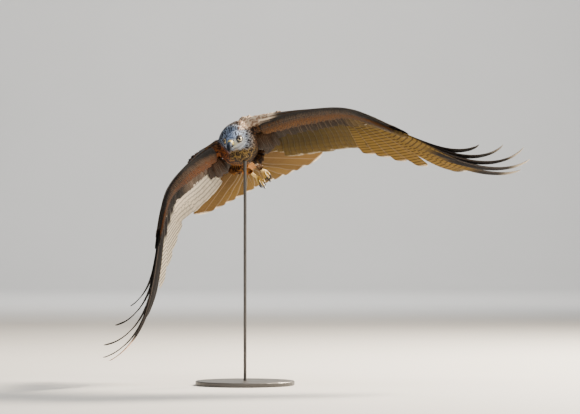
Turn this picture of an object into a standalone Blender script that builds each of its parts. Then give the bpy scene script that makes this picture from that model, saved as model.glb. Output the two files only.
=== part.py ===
"""A red kite in banking flight, life size, on a plain display stand.

Metres, +Z up. The origin is the centre of the stand's underside. The bird is modelled in
its own frame (x to the side of its left wing, y towards its tail, z towards its back) and
then placed on the stand by one empty, which banks and pitches it.
"""

import math

import bmesh
import bpy
import numpy as np
from mathutils import Matrix

# Pose of the whole bird on its stand
BANK = math.radians(27.4)
PITCH = math.radians(16.5)
BODY_CENTRE = (-0.020, 0.035, 0.655)
GAP = 0.0003

# Torso: stations along the body, and the sizes of its egg-shaped sections there
TORSO_Y = (-0.085, -0.060, -0.020, 0.030, 0.075, 0.110, 0.130)
TORSO_HALF_WIDTH = (0.043, 0.056, 0.062, 0.060, 0.049, 0.034, 0.024)
TORSO_TOP = (0.038, 0.051, 0.060, 0.055, 0.043, 0.026, 0.016)
TORSO_LEAN = 0.30
TORSO_BOTTOM = (0.040, 0.055, 0.062, 0.058, 0.046, 0.029, 0.018)
SHOULDER_FLAT = 0.050

# Head: its eye-level centre in the bird's frame, its turn, and its sections along its axis
HEAD_CENTRE = (-0.0062, -0.152, -0.0336)
HEAD_TURN = math.radians(24.4)
HEAD_DOWN = math.radians(24.8)
HEAD_TILT = math.radians(24.5)
HEAD_AXIS = (-0.036, -0.022, -0.008, 0.004, 0.014, 0.022)
HEAD_HALF_WIDTH = (0.0230, 0.0250, 0.0248, 0.0222, 0.0168, 0.0108)
HEAD_TOP = (0.0210, 0.0230, 0.0220, 0.0195, 0.0155, 0.0110)
HEAD_BOTTOM = (0.0225, 0.0235, 0.0220, 0.0195, 0.0165, 0.0120)
BROW = 0.0022
EYE_RADIUS = 0.0085
EYE_SIDE = 0.0162
EYE_UP = 0.0035
LID_RADIUS = 0.0013
CERE_LENGTH = 0.0085
BILL_LENGTH = 0.026
BILL_HOOK = 0.0135
CERE_SHARE = 0.22
NOSTRIL = (0.0022, 0.0016, 0.0010)
LID_WIDE, LID_HIGH = 0.0070, 0.0060

# Neck
NECK_REAR_RADIUS = 0.039
NECK_RINGS = 8

# Wings: the leading edge in the bird's frame, from the torso to the end of the hand
LEFT_EDGE = ((0.0, -0.056, 0.030), (0.204, -0.112, -0.036), (0.308, -0.133, -0.096), (0.380, -0.086, -0.172))
RIGHT_EDGE = ((0.0, -0.058, 0.014), (0.117, -0.124, -0.017), (0.220, -0.165, -0.073), (0.290, -0.124, -0.146))
TWIST_AT = (0.0, 0.45, 0.71, 1.0)
LEFT_TWIST = (8.0, 9.0, 8.0, 3.0)
RIGHT_TWIST = (4.0, 5.0, -1.0, -8.0)
FLESH_AT = (0.0, 0.4, 0.71, 1.0)
FLESH_CHORD = (0.078, 0.082, 0.056, 0.026)
LEFT_THICKNESS = (0.066, 0.024, 0.014, 0.008)
RIGHT_THICKNESS = (0.056, 0.023, 0.014, 0.008)
FLIGHT_ROOT = 0.55

# Flight feathers of a wing, from the body outwards
PRIMARIES = 10
SECONDARIES = 13
TERTIALS = 4
PRIMARY_LENGTHS = (0.240, 0.252, 0.272, 0.300, 0.372, 0.490, 0.487, 0.453, 0.371, 0.280)
LEFT_FANS = (13.0, 21.0, 29.0, 38.0, 50.0, 59.5, 65.0, 68.0, 70.0, 72.0)
RIGHT_FANS = (13.0, 20.0, 28.0, 38.0, 49.0, 56.5, 55.5, 52.5, 50.0, 48.0)
LEFT_CURLS = (0.0, 0.0, 2.0, 6.0, 22.0, 46.0, 60.0, 74.0, 70.0, 57.0)
RIGHT_CURLS = (0.0, 0.0, 2.0, 6.0, 24.0, 56.0, 67.0, 73.0, 67.0, 49.0)
FIRST_FINGER = 5
FINGER_NOTCH = 0.60
SECONDARY_LENGTH = 0.215
SECONDARY_WEBS = (0.017, 0.026)
TERTIAL_LENGTH = 0.150
TERTIAL_WEBS = (0.020, 0.018)
LENGTH_VARIES = 0.016
VANE_THICKNESS = 0.0007
VANE_TILT = math.radians(7.0)
CAMBER = math.radians(6.0)
LONG_VANE = ((0.0, 0.14), (0.08, 0.18), (0.20, 0.80), (0.42, 1.0), (0.62, 1.0), (0.84, 0.88), (1.0, 0.20))
BROAD_VANE = ((0.0, 0.14), (0.09, 0.22), (0.28, 0.92), (0.84, 0.94), (1.0, 0.34))
SHORT_VANE = ((0.0, 0.40), (0.60, 1.0), (1.0, 0.40))

# Tiers of coverts: above or below, share of the flesh's chord, number, length, web and height
COVERT_TIERS = (
    (1, 0.50, 11, 0.082, 0.020, 0.0066),
    (1, 0.28, 7, 0.056, 0.027, 0.0092),
    (-1, 0.50, 11, 0.086, 0.020, 0.0066),
    (-1, 0.28, 7, 0.058, 0.027, 0.0092),
)
ALULA = ((0.755, 0.042), (0.745, 0.056), (0.735, 0.070))
ALULA_FAN = 40.0
ALULA_ROOT = 0.34
ALULA_CAMBER = math.radians(20.0)
ALULA_LIFT = (0.002, 0.0075)
COVERTS_FROM, COVERTS_TO = 0.11, 0.96
LEFT_WING = (LEFT_EDGE, LEFT_TWIST, LEFT_FANS, LEFT_CURLS, LEFT_THICKNESS)
RIGHT_WING = (RIGHT_EDGE, RIGHT_TWIST, RIGHT_FANS, RIGHT_CURLS, RIGHT_THICKNESS)

# Tail
TAIL_LENGTH_INNER = 0.290
TAIL_LENGTH_OUTER = 0.338
TAIL_SPREAD = math.radians(30.0)
TAIL_ROLL = math.radians(2.0)
TAIL_ROOT_Y = TORSO_Y[-1] + GAP + 0.012
TAIL_STACK = 0.0009
TAIL_COVERTS = 3
RECTRICES = 12

# Legs, from hip to toes, in the bird's frame, with y back and z up
HIPS = {"left": (0.030, 0.036, -0.040), "right": (-0.030, 0.036, -0.040)}
HOCKS = {"left": (0.0245, 0.0800, -0.0570), "right": (-0.0090, 0.0820, -0.0550)}
FEET = {"left": (0.0285, 0.1310, -0.0590), "right": (0.0050, 0.1330, -0.0670)}
THIGH_RADIUS = 0.023
HOCK_RADIUS = 0.007
TARSUS_RADIUS = 0.0040
TOE_RADIUS = 0.0040
TOES = {"inner": (-24.0, 0.026), "middle": (0.0, 0.036), "outer": (24.0, 0.029)}
HALLUX_LENGTH = 0.019
CLAW_LENGTHS = {"inner": 0.018, "middle": 0.016, "outer": 0.014, "hallux": 0.021}

# Stand
BASE_RADIUS = 0.135
BASE_HEIGHT = 0.012
BASE_ROUNDING = 0.002
ROD_RADIUS = 0.0042
ROD_TOP = BODY_CENTRE[2] - 0.045
ROD_SIDES = 16

COLOURS = {
    "plumage_rufous": ((0.30, 0.12, 0.05), 0.75, 0.0),
    "plumage_grey": ((0.50, 0.50, 0.48), 0.75, 0.0),
    "plumage_wing": ((0.12, 0.075, 0.05), 0.70, 0.0),
    "plumage_tail": ((0.48, 0.22, 0.07), 0.70, 0.0),
    "bare_yellow": ((0.72, 0.50, 0.06), 0.45, 0.0),
    "bill_horn": ((0.05, 0.06, 0.08), 0.30, 0.0),
    "claw_horn": ((0.02, 0.02, 0.025), 0.28, 0.0),
    "eye_amber": ((0.60, 0.50, 0.22), 0.08, 0.0),
    "stand_steel": ((0.10, 0.10, 0.11), 0.35, 1.0),
}


def clear_scene():
    """Removes the startup objects."""
    for found in list(bpy.data.objects):
        bpy.data.objects.remove(found, do_unlink=True)


def make_materials():
    """One Principled material for each entry of COLOURS."""
    made = {}
    for name, (colour, roughness, metallic) in COLOURS.items():
        finish = bpy.data.materials.new(name)
        finish.use_nodes = True
        shader = finish.node_tree.nodes["Principled BSDF"]
        shader.inputs["Base Color"].default_value = (*colour, 1.0)
        shader.inputs["Roughness"].default_value = roughness
        shader.inputs["Metallic"].default_value = metallic
        made[name] = finish
    return made


def unit(vector):
    """The vector, or each row of an array of them, at length one."""
    vector = np.asarray(vector, float)
    return vector / np.linalg.norm(vector, axis=-1, keepdims=True)


def blend(stations, values, at):
    """A smooth curve through the values at the stations, read at the points in at."""
    stations = np.asarray(stations, float)
    values = np.asarray(values, float)
    slopes = np.gradient(values, stations, axis=0)
    at = np.clip(np.asarray(at, float), stations[0], stations[-1])
    left = np.clip(np.searchsorted(stations, at, side="right") - 1, 0, len(stations) - 2)
    width = stations[left + 1] - stations[left]
    u = (at - stations[left]) / width
    if values.ndim > 1:
        u = u[..., None]
        width = width[..., None]
    start = (1 + 2 * u) * (1 - u) ** 2 * values[left] + u * (1 - u) ** 2 * width * slopes[left]
    end = u**2 * (3 - 2 * u) * values[left + 1] + u**2 * (u - 1) * width * slopes[left + 1]
    return start + end


def loft_faces(rings, sides):
    """Triangles of a closed tube of rings, with a fan on each end from an added centre point."""
    faces = []
    for ring in range(rings - 1):
        for side in range(sides):
            a = ring * sides + side
            b = ring * sides + (side + 1) % sides
            faces.append((a, b, b + sides))
            faces.append((a, b + sides, a + sides))
    first, last = rings * sides, rings * sides + 1
    for side in range(sides):
        after = (side + 1) % sides
        faces.append((first, after, side))
        faces.append((last, (rings - 1) * sides + side, (rings - 1) * sides + after))
    return faces


def loft(rings):
    """Points and outward triangles of a tube through the rings, an array of rings x sides x 3."""
    rings = np.asarray(rings, float)
    count, sides = rings.shape[:2]
    points = np.concatenate([rings.reshape(-1, 3), rings[:1].mean(axis=1), rings[-1:].mean(axis=1)])
    faces = np.array(loft_faces(count, sides))
    corners = points[faces]
    if np.einsum("ij,ij->i", corners[:, 0], np.cross(corners[:, 1], corners[:, 2])).sum() < 0:
        faces = faces[:, ::-1]
    return points, faces


def path_frames(path, reference):
    """Tangent, side and up vectors along a path, the sides kept square to the reference."""
    path = np.asarray(path, float)
    along = unit(np.gradient(path, axis=0))
    side = unit(np.cross(along, reference))
    return along, side, np.cross(side, along)


def tube(path, radii, sides, reference=(0.0, 0.0, 1.0)):
    """A round tube of changing radius along a path."""
    _, side, up = path_frames(path, reference)
    turn = np.linspace(0, 2 * math.pi, sides, endpoint=False)
    radii = np.asarray(radii, float)[:, None, None]
    wheel = np.cos(turn)[None, :, None] * side[:, None, :] + np.sin(turn)[None, :, None] * up[:, None, :]
    return loft(np.asarray(path)[:, None, :] + radii * wheel)


def arc_path(start, along, towards, length, bend, count):
    """Points of an arc of the given length that sets off along one way and bends towards another."""
    steps = np.arange(count - 1) / (count - 1)
    angle = bend * steps
    along, towards = unit(along), unit(towards)
    step = (np.cos(angle)[:, None] * along + np.sin(angle)[:, None] * towards) * length / (count - 1)
    return np.concatenate([[start], np.asarray(start) + np.cumsum(step, axis=0)])


def mesh_object(name, shape, finish, collection):
    """A mesh object of the points and triangles, in the collection and with the material."""
    points, faces = shape
    mesh = bpy.data.meshes.new(name)
    mesh.from_pydata(np.asarray(points).tolist(), [], np.asarray(faces).tolist())
    mesh.validate()
    made = bpy.data.objects.new(name, mesh)
    collection.objects.link(made)
    if finish:
        mesh.materials.append(finish)
    mesh.shade_smooth()
    mesh.set_sharp_from_angle(angle=math.radians(50))
    return made


def largest_surface(mesh):
    """Keeps the closed surface that holds most, and deletes any loose scrap."""
    work = bmesh.new()
    work.from_mesh(mesh)
    bmesh.ops.triangulate(work, faces=work.faces)
    left = set(work.faces)
    surfaces = []
    while left:
        front = [left.pop()]
        found = list(front)
        while front:
            face = front.pop()
            for edge in face.edges:
                for other in edge.link_faces:
                    if other in left:
                        left.remove(other)
                        front.append(other)
                        found.append(other)
        held = sum(f.verts[0].co.dot(f.verts[1].co.cross(f.verts[2].co)) for f in found)
        surfaces.append((held, len(surfaces), found))
    surfaces.sort(key=lambda item: item[:2])
    for _, _, found in surfaces[:-1]:
        bmesh.ops.delete(work, geom=found, context="FACES")
    loose = [vert for vert in work.verts if not vert.link_faces]
    bmesh.ops.delete(work, geom=loose, context="VERTS")
    work.to_mesh(mesh)
    work.free()


def combine(body, shapes, operation):
    """Unites the body with the shapes, or cuts them from it, in one Boolean that is applied."""
    group = bpy.data.collections.new(body.name + "_" + operation.lower())
    bpy.context.scene.collection.children.link(group)
    for number, shape in enumerate(shapes):
        piece = mesh_object(f"{body.name}_piece_{number}", shape, None, group)
        piece.display_type = "WIRE"
    modifier = body.modifiers.new("join", "BOOLEAN")
    modifier.operation = operation
    modifier.operand_type = "COLLECTION"
    modifier.collection = group
    modifier.solver = "MANIFOLD"
    bpy.context.view_layer.update()
    joined = bpy.data.meshes.new_from_object(body.evaluated_get(bpy.context.evaluated_depsgraph_get()))
    body.modifiers.clear()
    body.data = joined
    for piece in list(group.objects):
        bpy.data.objects.remove(piece, do_unlink=True)
    bpy.data.collections.remove(group)
    largest_surface(body.data)
    body.data.shade_smooth()
    body.data.set_sharp_from_angle(angle=math.radians(40))


def triangles_of(work):
    """Points and triangles of a finished bmesh, which is then freed."""
    bmesh.ops.triangulate(work, faces=work.faces)
    work.verts.index_update()
    points = np.array([vert.co[:] for vert in work.verts])
    faces = np.array([[vert.index for vert in face.verts] for face in work.faces])
    work.free()
    return points, faces


def sphere(centre, radii, across=12, down=8):
    """Points and triangles of an ellipsoid."""
    work = bmesh.new()
    bmesh.ops.create_uvsphere(work, u_segments=across, v_segments=down, radius=1.0)
    points, faces = triangles_of(work)
    return points * np.asarray(radii) + np.asarray(centre), faces


def cylinder(radius, low, high, segments):
    """Points and triangles of an upright cylinder on the world's vertical axis."""
    work = bmesh.new()
    bmesh.ops.create_cone(
        work, cap_ends=True, segments=segments, radius1=radius, radius2=radius, depth=high - low
    )
    points, faces = triangles_of(work)
    return points + np.array([0.0, 0.0, (low + high) / 2]), faces


def vane(root, along, normal, length, webs, profile, curl=0.0, camber=CAMBER, lift=(0.0, 0.0), notch=1.0):
    """One feather blade.

    It leaves the root along one way, its leading web turned up by VANE_TILT, and bends down
    by camber and, near its tip, up by curl. The webs are its widths either side of the shaft,
    profile gives their shares along it, notch narrows its outer half, and lift raises it from
    one height to another.
    """
    along = unit(along)
    normal = unit(normal - along * np.dot(along, normal))
    side = np.cross(along, normal)
    places, shares = np.array(profile).T
    shares = shares * (1 - (1 - notch) * np.clip((places - 0.42) / 0.16, 0, 1))
    angle = curl * places**3 - camber * places
    middle = 0.5 * (angle[1:] + angle[:-1])
    step = np.diff(places)[:, None] * length * (
        np.cos(middle)[:, None] * along + np.sin(middle)[:, None] * normal
    )
    centre = np.concatenate([[root], np.asarray(root) + np.cumsum(step, axis=0)])
    rise = lift[0] + (lift[1] - lift[0]) * np.clip(places / 0.3, 0, 1)
    centre = centre + rise[:, None] * normal
    facing = np.cos(angle)[:, None] * normal - np.sin(angle)[:, None] * along
    across = math.cos(VANE_TILT) * side[None, :] + math.sin(VANE_TILT) * facing
    above = math.cos(VANE_TILT) * facing - math.sin(VANE_TILT) * side[None, :]
    lead = across * (webs[0] * shares)[:, None]
    trail = -across * (webs[1] * shares)[:, None]
    half = above * VANE_THICKNESS / 2
    rings = np.stack([centre + lead + half, centre + trail + half, centre + trail - half, centre + lead - half], 1)
    return vane_mesh(rings)


def vane_mesh(rings):
    """A closed blade of four-cornered rings, with its upper and lower faces split alike."""
    count = len(rings)
    points = rings.reshape(-1, 3)
    faces = []
    for ring in range(count - 1):
        a = 4 * ring
        b = a + 4
        faces += [(a, a + 1, b + 1), (a, b + 1, b)]
        faces += [(a + 2, a + 3, b + 2), (a + 3, b + 3, b + 2)]
        faces += [(a + 1, a + 2, b + 2), (a + 1, b + 2, b + 1)]
        faces += [(a + 3, a, b), (a + 3, b, b + 3)]
    end = 4 * (count - 1)
    faces += [(0, 3, 2), (0, 2, 1), (end, end + 1, end + 2), (end, end + 2, end + 3)]
    faces = np.array(faces)
    corners = points[faces]
    if np.einsum("ij,ij->i", corners[:, 0], np.cross(corners[:, 1], corners[:, 2])).sum() < 0:
        faces = faces[:, ::-1]
    return points, faces


def varied(number):
    """How much longer or shorter than the row's size one feather is."""
    return 1 + LENGTH_VARIES * math.sin(2.4 * number)


class Wing:
    """One wing's leading edge, its local directions and everything rooted along it.

    It is worked out as a left wing, with x outwards, and mirrored for the right one.
    """

    def __init__(self, side):
        """Takes the side, 1 for the left wing or -1 for the right."""
        self.side = side
        edge, twist, self.fans, self.curls, self.thicknesses = (None, LEFT_WING, RIGHT_WING)[side]
        edge = np.array(edge)
        edge[0, 0] = SHOULDER_FLAT + GAP
        lengths = np.concatenate([[0], np.cumsum(np.linalg.norm(np.diff(edge, axis=0), axis=1))])
        self.stations = lengths / lengths[-1]
        self.edge = edge
        self.twist = twist

    def frame(self, at):
        """Leading-edge point, outward, backward and upward vectors at each share of the length."""
        at = np.atleast_1d(np.asarray(at, float))
        small = 0.01
        point = blend(self.stations, self.edge, at)
        ahead = blend(self.stations, self.edge, np.minimum(at + small, 1))
        behind = blend(self.stations, self.edge, np.maximum(at - small, 0))
        out = unit(ahead - behind)
        back = unit(np.array([0.0, 1.0, 0.0]) - out * out[:, 1:2])
        up = np.cross(out, back)
        twist = np.radians(np.interp(at, TWIST_AT, self.twist))[:, None]
        chord = np.cos(twist) * back - np.sin(twist) * up
        return point, out, chord, np.cross(out, chord)

    def chord_at(self, at):
        """Chord of the flesh at each share of the length."""
        return blend(FLESH_AT, FLESH_CHORD, at)

    def thickness_at(self, at):
        """Thickness of the flesh at each share of the length."""
        return blend(FLESH_AT, self.thicknesses, at)

    def mirrored(self, shape):
        """The shape as it is on this side of the bird."""
        return sided(shape, self.side)

    def flesh(self):
        """The arm and hand as one flattened tube, flat where it meets the torso."""
        at = np.concatenate([np.linspace(0, 1, 11), [1.0]])
        point, _, chord, up = self.frame(at)
        turn = np.linspace(0, 2 * math.pi, 12, endpoint=False)
        width = self.chord_at(at)[:, None]
        height = self.thickness_at(at)[:, None] / 2
        back = width * (1 - np.cos(turn)) / 2
        rise = height * np.sin(turn) * (1 - 0.25 * (1 - np.cos(turn)) / 2)
        rings = point[:, None, :] + back[..., None] * chord[:, None, :] + rise[..., None] * up[:, None, :]
        rings[0, :, 0] = SHOULDER_FLAT + GAP
        end = rings[-1].mean(axis=0)
        rings[-1] = end + 0.55 * (rings[-1] - end) + 0.004 * self.frame(1.0)[1]
        return loft(rings)

    def flight_feathers(self):
        """Place, fan, length, webs, profile, curl and notch of each flight feather, from the body outwards."""
        rows = []
        for number in range(TERTIALS):
            share = number / (TERTIALS - 1)
            length = (TERTIAL_LENGTH + 0.05 * share) * varied(number)
            rows.append((0.06 + 0.15 * share, 0.0, length, TERTIAL_WEBS, BROAD_VANE, 0.0, 1.0))
        for number in range(SECONDARIES):
            share = number / (SECONDARIES - 1)
            length = SECONDARY_LENGTH * (1 - 0.06 * share) * varied(number)
            rows.append((0.245 + 0.445 * share, -2.0 + 13.0 * share, length, SECONDARY_WEBS, BROAD_VANE, 0.0, 1.0))
        for number in range(PRIMARIES):
            share = number / (PRIMARIES - 1)
            notch = FINGER_NOTCH if number >= FIRST_FINGER else 1.0
            webs = (0.016 - 0.004 * share, 0.027 - 0.003 * share)
            curl = math.radians(self.curls[number])
            length = PRIMARY_LENGTHS[number]
            rows.append((0.725 + 0.262 * share, self.fans[number], length, webs, LONG_VANE, curl, notch))
        return rows

    def direction(self, at, fan):
        """Root direction in the wing's plane of a feather that fans out from straight back."""
        point, out, chord, up = (value[0] for value in self.frame(at))
        angle = math.radians(fan) + math.asin(out[1])
        return point, math.cos(angle) * chord + math.sin(angle) * out, chord, up

    def feathers(self):
        """Every vane of the wing: flight feathers, tiers of coverts above and below, and the alula."""
        flight = self.flight_feathers()
        shapes = []
        for at, fan, length, webs, profile, curl, notch in flight:
            point, along, chord, up = self.direction(at, fan)
            root = point + chord * FLIGHT_ROOT * float(self.chord_at(at))
            shapes.append(vane(root, along, up, length, webs, profile, curl=curl, notch=notch))
        places = [row[0] for row in flight]
        fans = [row[1] for row in flight]
        for surface, share, number, length, web, height in COVERT_TIERS:
            for at in np.linspace(COVERTS_FROM, COVERTS_TO, number):
                point, along, chord, up = self.direction(at, float(np.interp(at, places, fans)))
                root = point + chord * share * float(self.chord_at(at))
                start = 0.15 * float(self.thickness_at(at))
                lift = (surface * start, surface * height)
                long = length * (1.12 - 0.24 * at) * varied(100 * at + surface)
                shapes.append(vane(root, along, up, long, (web, web), SHORT_VANE, lift=lift))
        for at, length in ALULA:
            point, along, chord, up = self.direction(at, ALULA_FAN)
            root = point + chord * ALULA_ROOT * float(self.chord_at(at))
            webs = (0.008, 0.010)
            shapes.append(vane(root, along, up, length, webs, SHORT_VANE, camber=ALULA_CAMBER, lift=ALULA_LIFT))
        return shapes


def build_wing(name, side, finish, collection):
    """A wing of flesh with every feather rooted in it."""
    wing = Wing(side)
    body = mesh_object(name, wing.mirrored(wing.flesh()), finish, collection)
    combine(body, [wing.mirrored(shape) for shape in wing.feathers()], "UNION")
    return body


def build_torso(finish, collection, pose):
    """The trunk: egg-shaped, leaning to the raised wing above, flat at each shoulder, with a socket for the rod."""
    along = np.linspace(TORSO_Y[0], TORSO_Y[-1], 12)
    turn = np.linspace(0, 2 * math.pi, 24, endpoint=False)
    half_width = blend(TORSO_Y, TORSO_HALF_WIDTH, along)[:, None]
    top = blend(TORSO_Y, TORSO_TOP, along)[:, None]
    bottom = blend(TORSO_Y, TORSO_BOTTOM, along)[:, None]
    z = np.where(np.sin(turn) > 0, top, bottom) * np.sin(turn)
    lean = TORSO_LEAN * np.maximum(z, 0) * np.minimum(top / TORSO_TOP[2], 1) ** 2
    x = np.clip(half_width * np.cos(turn) + lean, -SHOULDER_FLAT, SHOULDER_FLAT)
    y = along[:, None] * np.ones(len(turn))
    body = mesh_object("torso", loft(np.stack([x, y, z], axis=-1)), finish, collection)
    sockets = [thigh_shape(name, GAP) for name in ("left", "right")]
    combine(body, [rod_shape(GAP, pose)] + sockets, "DIFFERENCE")
    return body


def thigh_shape(name, clearance):
    """The feathered thigh as a tapering tube from hip to hock, wider all round by the clearance."""
    hip, hock = np.array(HIPS[name]), np.array(HOCKS[name])
    way = unit(hock - hip)
    places = np.linspace(0, 1, 8)
    line = hip - way * clearance + (hock - hip + way * clearance) * places[:, None]
    radii = HOCK_RADIUS + (THIGH_RADIUS - HOCK_RADIUS) * (1 - places**1.3) + clearance
    return tube(line, radii, 16)


def rod_shape(clearance, pose):
    """The rod in the bird's frame, wider by the clearance and longer at its top by it."""
    points, faces = cylinder(ROD_RADIUS + clearance, BASE_HEIGHT + GAP, ROD_TOP + clearance, ROD_SIDES)
    inverse = np.array(pose.inverted())
    return points @ inverse[:3, :3].T + inverse[:3, 3], faces


def pose_matrix():
    """Where the bird's frame stands in the world."""
    turn = Matrix.Rotation(-BANK, 4, "Y") @ Matrix.Rotation(-PITCH, 4, "X")
    return Matrix.Translation(BODY_CENTRE) @ turn


def head_turn():
    """The head's own axes in the bird's frame: forward, left and up, as columns."""
    turn = Matrix.Rotation(-HEAD_TURN, 3, "Z") @ Matrix.Rotation(HEAD_DOWN, 3, "X")
    turn = turn @ Matrix.Rotation(HEAD_TILT, 3, "Y")
    return np.array(turn)


def from_head(points):
    """Head coordinates (left, forward, up) into the bird's frame."""
    points = np.asarray(points, float) * np.array([1.0, -1.0, 1.0])
    return points @ head_turn().T + np.array(HEAD_CENTRE)


def placed(shape):
    """A shape given in head coordinates, placed on the bird with its faces outwards."""
    points, faces = shape
    return from_head(points), np.asarray(faces)[:, ::-1]


def head_shape():
    """The skull's skin as a loft along its axis, drawn in below the brow and raised along it."""
    along = np.linspace(HEAD_AXIS[0], HEAD_AXIS[-1], 11)
    turn = np.linspace(0, 2 * math.pi, 24, endpoint=False)
    half_width = blend(HEAD_AXIS, HEAD_HALF_WIDTH, along)[:, None]
    top = blend(HEAD_AXIS, HEAD_TOP, along)[:, None]
    bottom = blend(HEAD_AXIS, HEAD_BOTTOM, along)[:, None]
    x = half_width * np.cos(turn)
    z = np.where(np.sin(turn) > 0, top, bottom) * np.sin(turn)
    y = along[:, None] * np.ones(len(turn))
    near = np.exp(-(((y - 0.004) / 0.011) ** 2) - ((z - EYE_UP - 0.0075) / 0.0045) ** 2)
    x = x + np.sign(x) * BROW * near
    return loft(np.stack([x, y, z], axis=-1))


def gape_cutter(side):
    """A thin wedge that draws the line of the mouth back from the bill to below the eye."""
    along = np.linspace(-0.006, 0.026, 7)
    half_width = blend(HEAD_AXIS, HEAD_HALF_WIDTH, np.minimum(along, HEAD_AXIS[-1]))
    height = -0.0050 - 0.0022 * np.clip(-(along - 0.010) / 0.016, 0, 1)
    corners = ((-0.0016, 0.0), (0.006, 0.0006), (0.006, -0.0006))
    rings = [[(side * (w + dx), y, z + dz) for dx, dz in corners] for y, w, z in zip(along, half_width, height)]
    return loft(np.array(rings))


def lid_shape(side):
    """The rim of lids round an eye, as an almond ring on the eyeball."""
    turn = np.linspace(0, 2 * math.pi, 12, endpoint=False)
    rings = []
    for angle in turn:
        y = LID_WIDE * math.cos(angle)
        z = LID_HIGH * math.sin(angle) * (1 - 0.12 * math.cos(angle))
        bulge = math.sqrt(max((EYE_RADIUS + 0.0010) ** 2 - y * y - z * z, 0))
        centre = np.array([side * (EYE_SIDE + bulge), y, EYE_UP + z])
        outward = unit(centre - np.array([side * EYE_SIDE, 0.0, EYE_UP]))
        radial = unit(np.array([0.0, y, z]))
        ring = [
            centre + LID_RADIUS * (math.cos(a) * outward + math.sin(a) * radial)
            for a in np.linspace(0, 2 * math.pi, 4, endpoint=False)
        ]
        rings.append(ring)
    return ring_loft(np.array(rings))


def ring_loft(rings):
    """A closed ring of sections, such as a torus, with its faces outwards."""
    count, sides = rings.shape[:2]
    points = rings.reshape(-1, 3)
    faces = []
    for ring in range(count):
        after = (ring + 1) % count
        for side in range(sides):
            next_side = (side + 1) % sides
            a, b = ring * sides + side, ring * sides + next_side
            c, d = after * sides + next_side, after * sides + side
            faces += [(a, b, c), (a, c, d)]
    faces = np.array(faces)
    corners = points[faces]
    if np.einsum("ij,ij->i", corners[:, 0], np.cross(corners[:, 1], corners[:, 2])).sum() < 0:
        faces = faces[:, ::-1]
    return points, faces


def build_head(finish, collection):
    """The head with its lids, the sockets of its eyes and the line of its mouth."""
    body = mesh_object("head", placed(head_shape()), finish, collection)
    combine(body, [placed(lid_shape(side)) for side in (1, -1)], "UNION")
    cutters = [placed(gape_cutter(side)) for side in (1, -1)]
    for side in (1, -1):
        centre = (side * EYE_SIDE, 0.0, EYE_UP)
        cutters.append(placed(sphere(centre, (EYE_RADIUS + GAP,) * 3)))
    combine(body, cutters, "DIFFERENCE")
    return body


def upper_bill_rings(places):
    """Sections of the cere and upper bill: its length runs forward and then hooks down."""
    rings = []
    for place in places:
        forward = HEAD_AXIS[-1] + GAP + (CERE_LENGTH + BILL_LENGTH * 0.80) * math.sin(place * math.pi / 2 * 0.94)
        down = BILL_HOOK * place**2.6
        wide = 0.0086 * (1 - place) ** 0.62 + 0.0006
        top = 0.0104 * (1 - place) ** 0.72 + 0.0004
        low = -0.0040 * (1 - place) ** 0.5 - 0.0004
        ring = []
        for angle in np.linspace(0, 2 * math.pi, 14, endpoint=False):
            height = top if math.sin(angle) > 0 else -low
            ring.append((wide * math.cos(angle), forward, -0.0004 + height * math.sin(angle) - down))
        rings.append(ring)
    return np.array(rings)


def build_bill(materials, collection):
    """The cere, the hooked upper bill and the lower bill."""
    cere = mesh_object("cere", placed(loft(upper_bill_rings(np.linspace(0, CERE_SHARE, 4)))),
                       materials["bare_yellow"], collection)
    nostrils = [placed(sphere((side * 0.0078, 0.0280, 0.0035), NOSTRIL, 8, 6)) for side in (1, -1)]
    combine(cere, nostrils, "DIFFERENCE")
    upper = mesh_object("bill_upper", placed(loft(upper_bill_rings(np.linspace(CERE_SHARE + 0.008, 1, 11)))),
                        materials["bill_horn"], collection)
    rings = []
    for place in np.linspace(0, 1, 7):
        forward = HEAD_AXIS[-1] + GAP + 0.0215 * place
        wide = 0.0072 * (1 - place) ** 0.55 + 0.0010
        top = -0.0050 - BILL_HOOK * (0.35 * place) ** 2.0
        deep = 0.0042 * (1 - place) ** 0.6 + 0.0006
        turn = np.linspace(0, 2 * math.pi, 12, endpoint=False)
        rings.append([(wide * math.cos(a), forward, top - deep / 2 + deep / 2 * math.sin(a)) for a in turn])
    lower = mesh_object("bill_lower", placed(loft(np.array(rings))), materials["bill_horn"], collection)
    return [cere, upper, lower]


def build_eyes(finish, collection):
    """Two eyeballs."""
    eyes = []
    for name, side in (("eye_left", 1), ("eye_right", -1)):
        centre = (side * EYE_SIDE, 0.0, EYE_UP)
        eyes.append(mesh_object(name, placed(sphere(centre, (EYE_RADIUS,) * 3)), finish, collection))
    return eyes


def build_neck(finish, collection):
    """The neck, from the flat front of the torso to the flat back of the head."""
    start = np.array([0.0, TORSO_Y[0] - GAP, -0.0015])
    head_back = from_head([[0.0, HEAD_AXIS[0] - GAP, 0.0]])[0]
    head_left, head_up = from_head([[1.0, HEAD_AXIS[0] - GAP, 0.0], [0.0, HEAD_AXIS[0] - GAP, 1.0]]) - head_back
    turn = np.linspace(0, 2 * math.pi, 24, endpoint=False)
    rings = []
    for place in np.linspace(0, 1, NECK_RINGS):
        left = unit((1 - place) * np.array([1.0, 0.0, 0.0]) + place * head_left)
        up = (1 - place) * np.array([0.0, 0.0, 1.0]) + place * head_up
        up = unit(up - left * np.dot(left, up))
        centre = (1 - place) * start + place * head_back
        swell = 1 + 0.16 * math.sin(math.pi * place)
        wide = swell * ((1 - place) * NECK_REAR_RADIUS + place * HEAD_HALF_WIDTH[0])
        top = swell * ((1 - place) * TORSO_TOP[0] + place * HEAD_TOP[0])
        low = swell * ((1 - place) * NECK_REAR_RADIUS + place * HEAD_BOTTOM[0])
        height = np.where(np.sin(turn) > 0, top, low) * np.sin(turn)
        rings.append(centre + wide * np.cos(turn)[:, None] * left + height[:, None] * up)
    return mesh_object("neck", loft(np.array(rings)), finish, collection)


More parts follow.
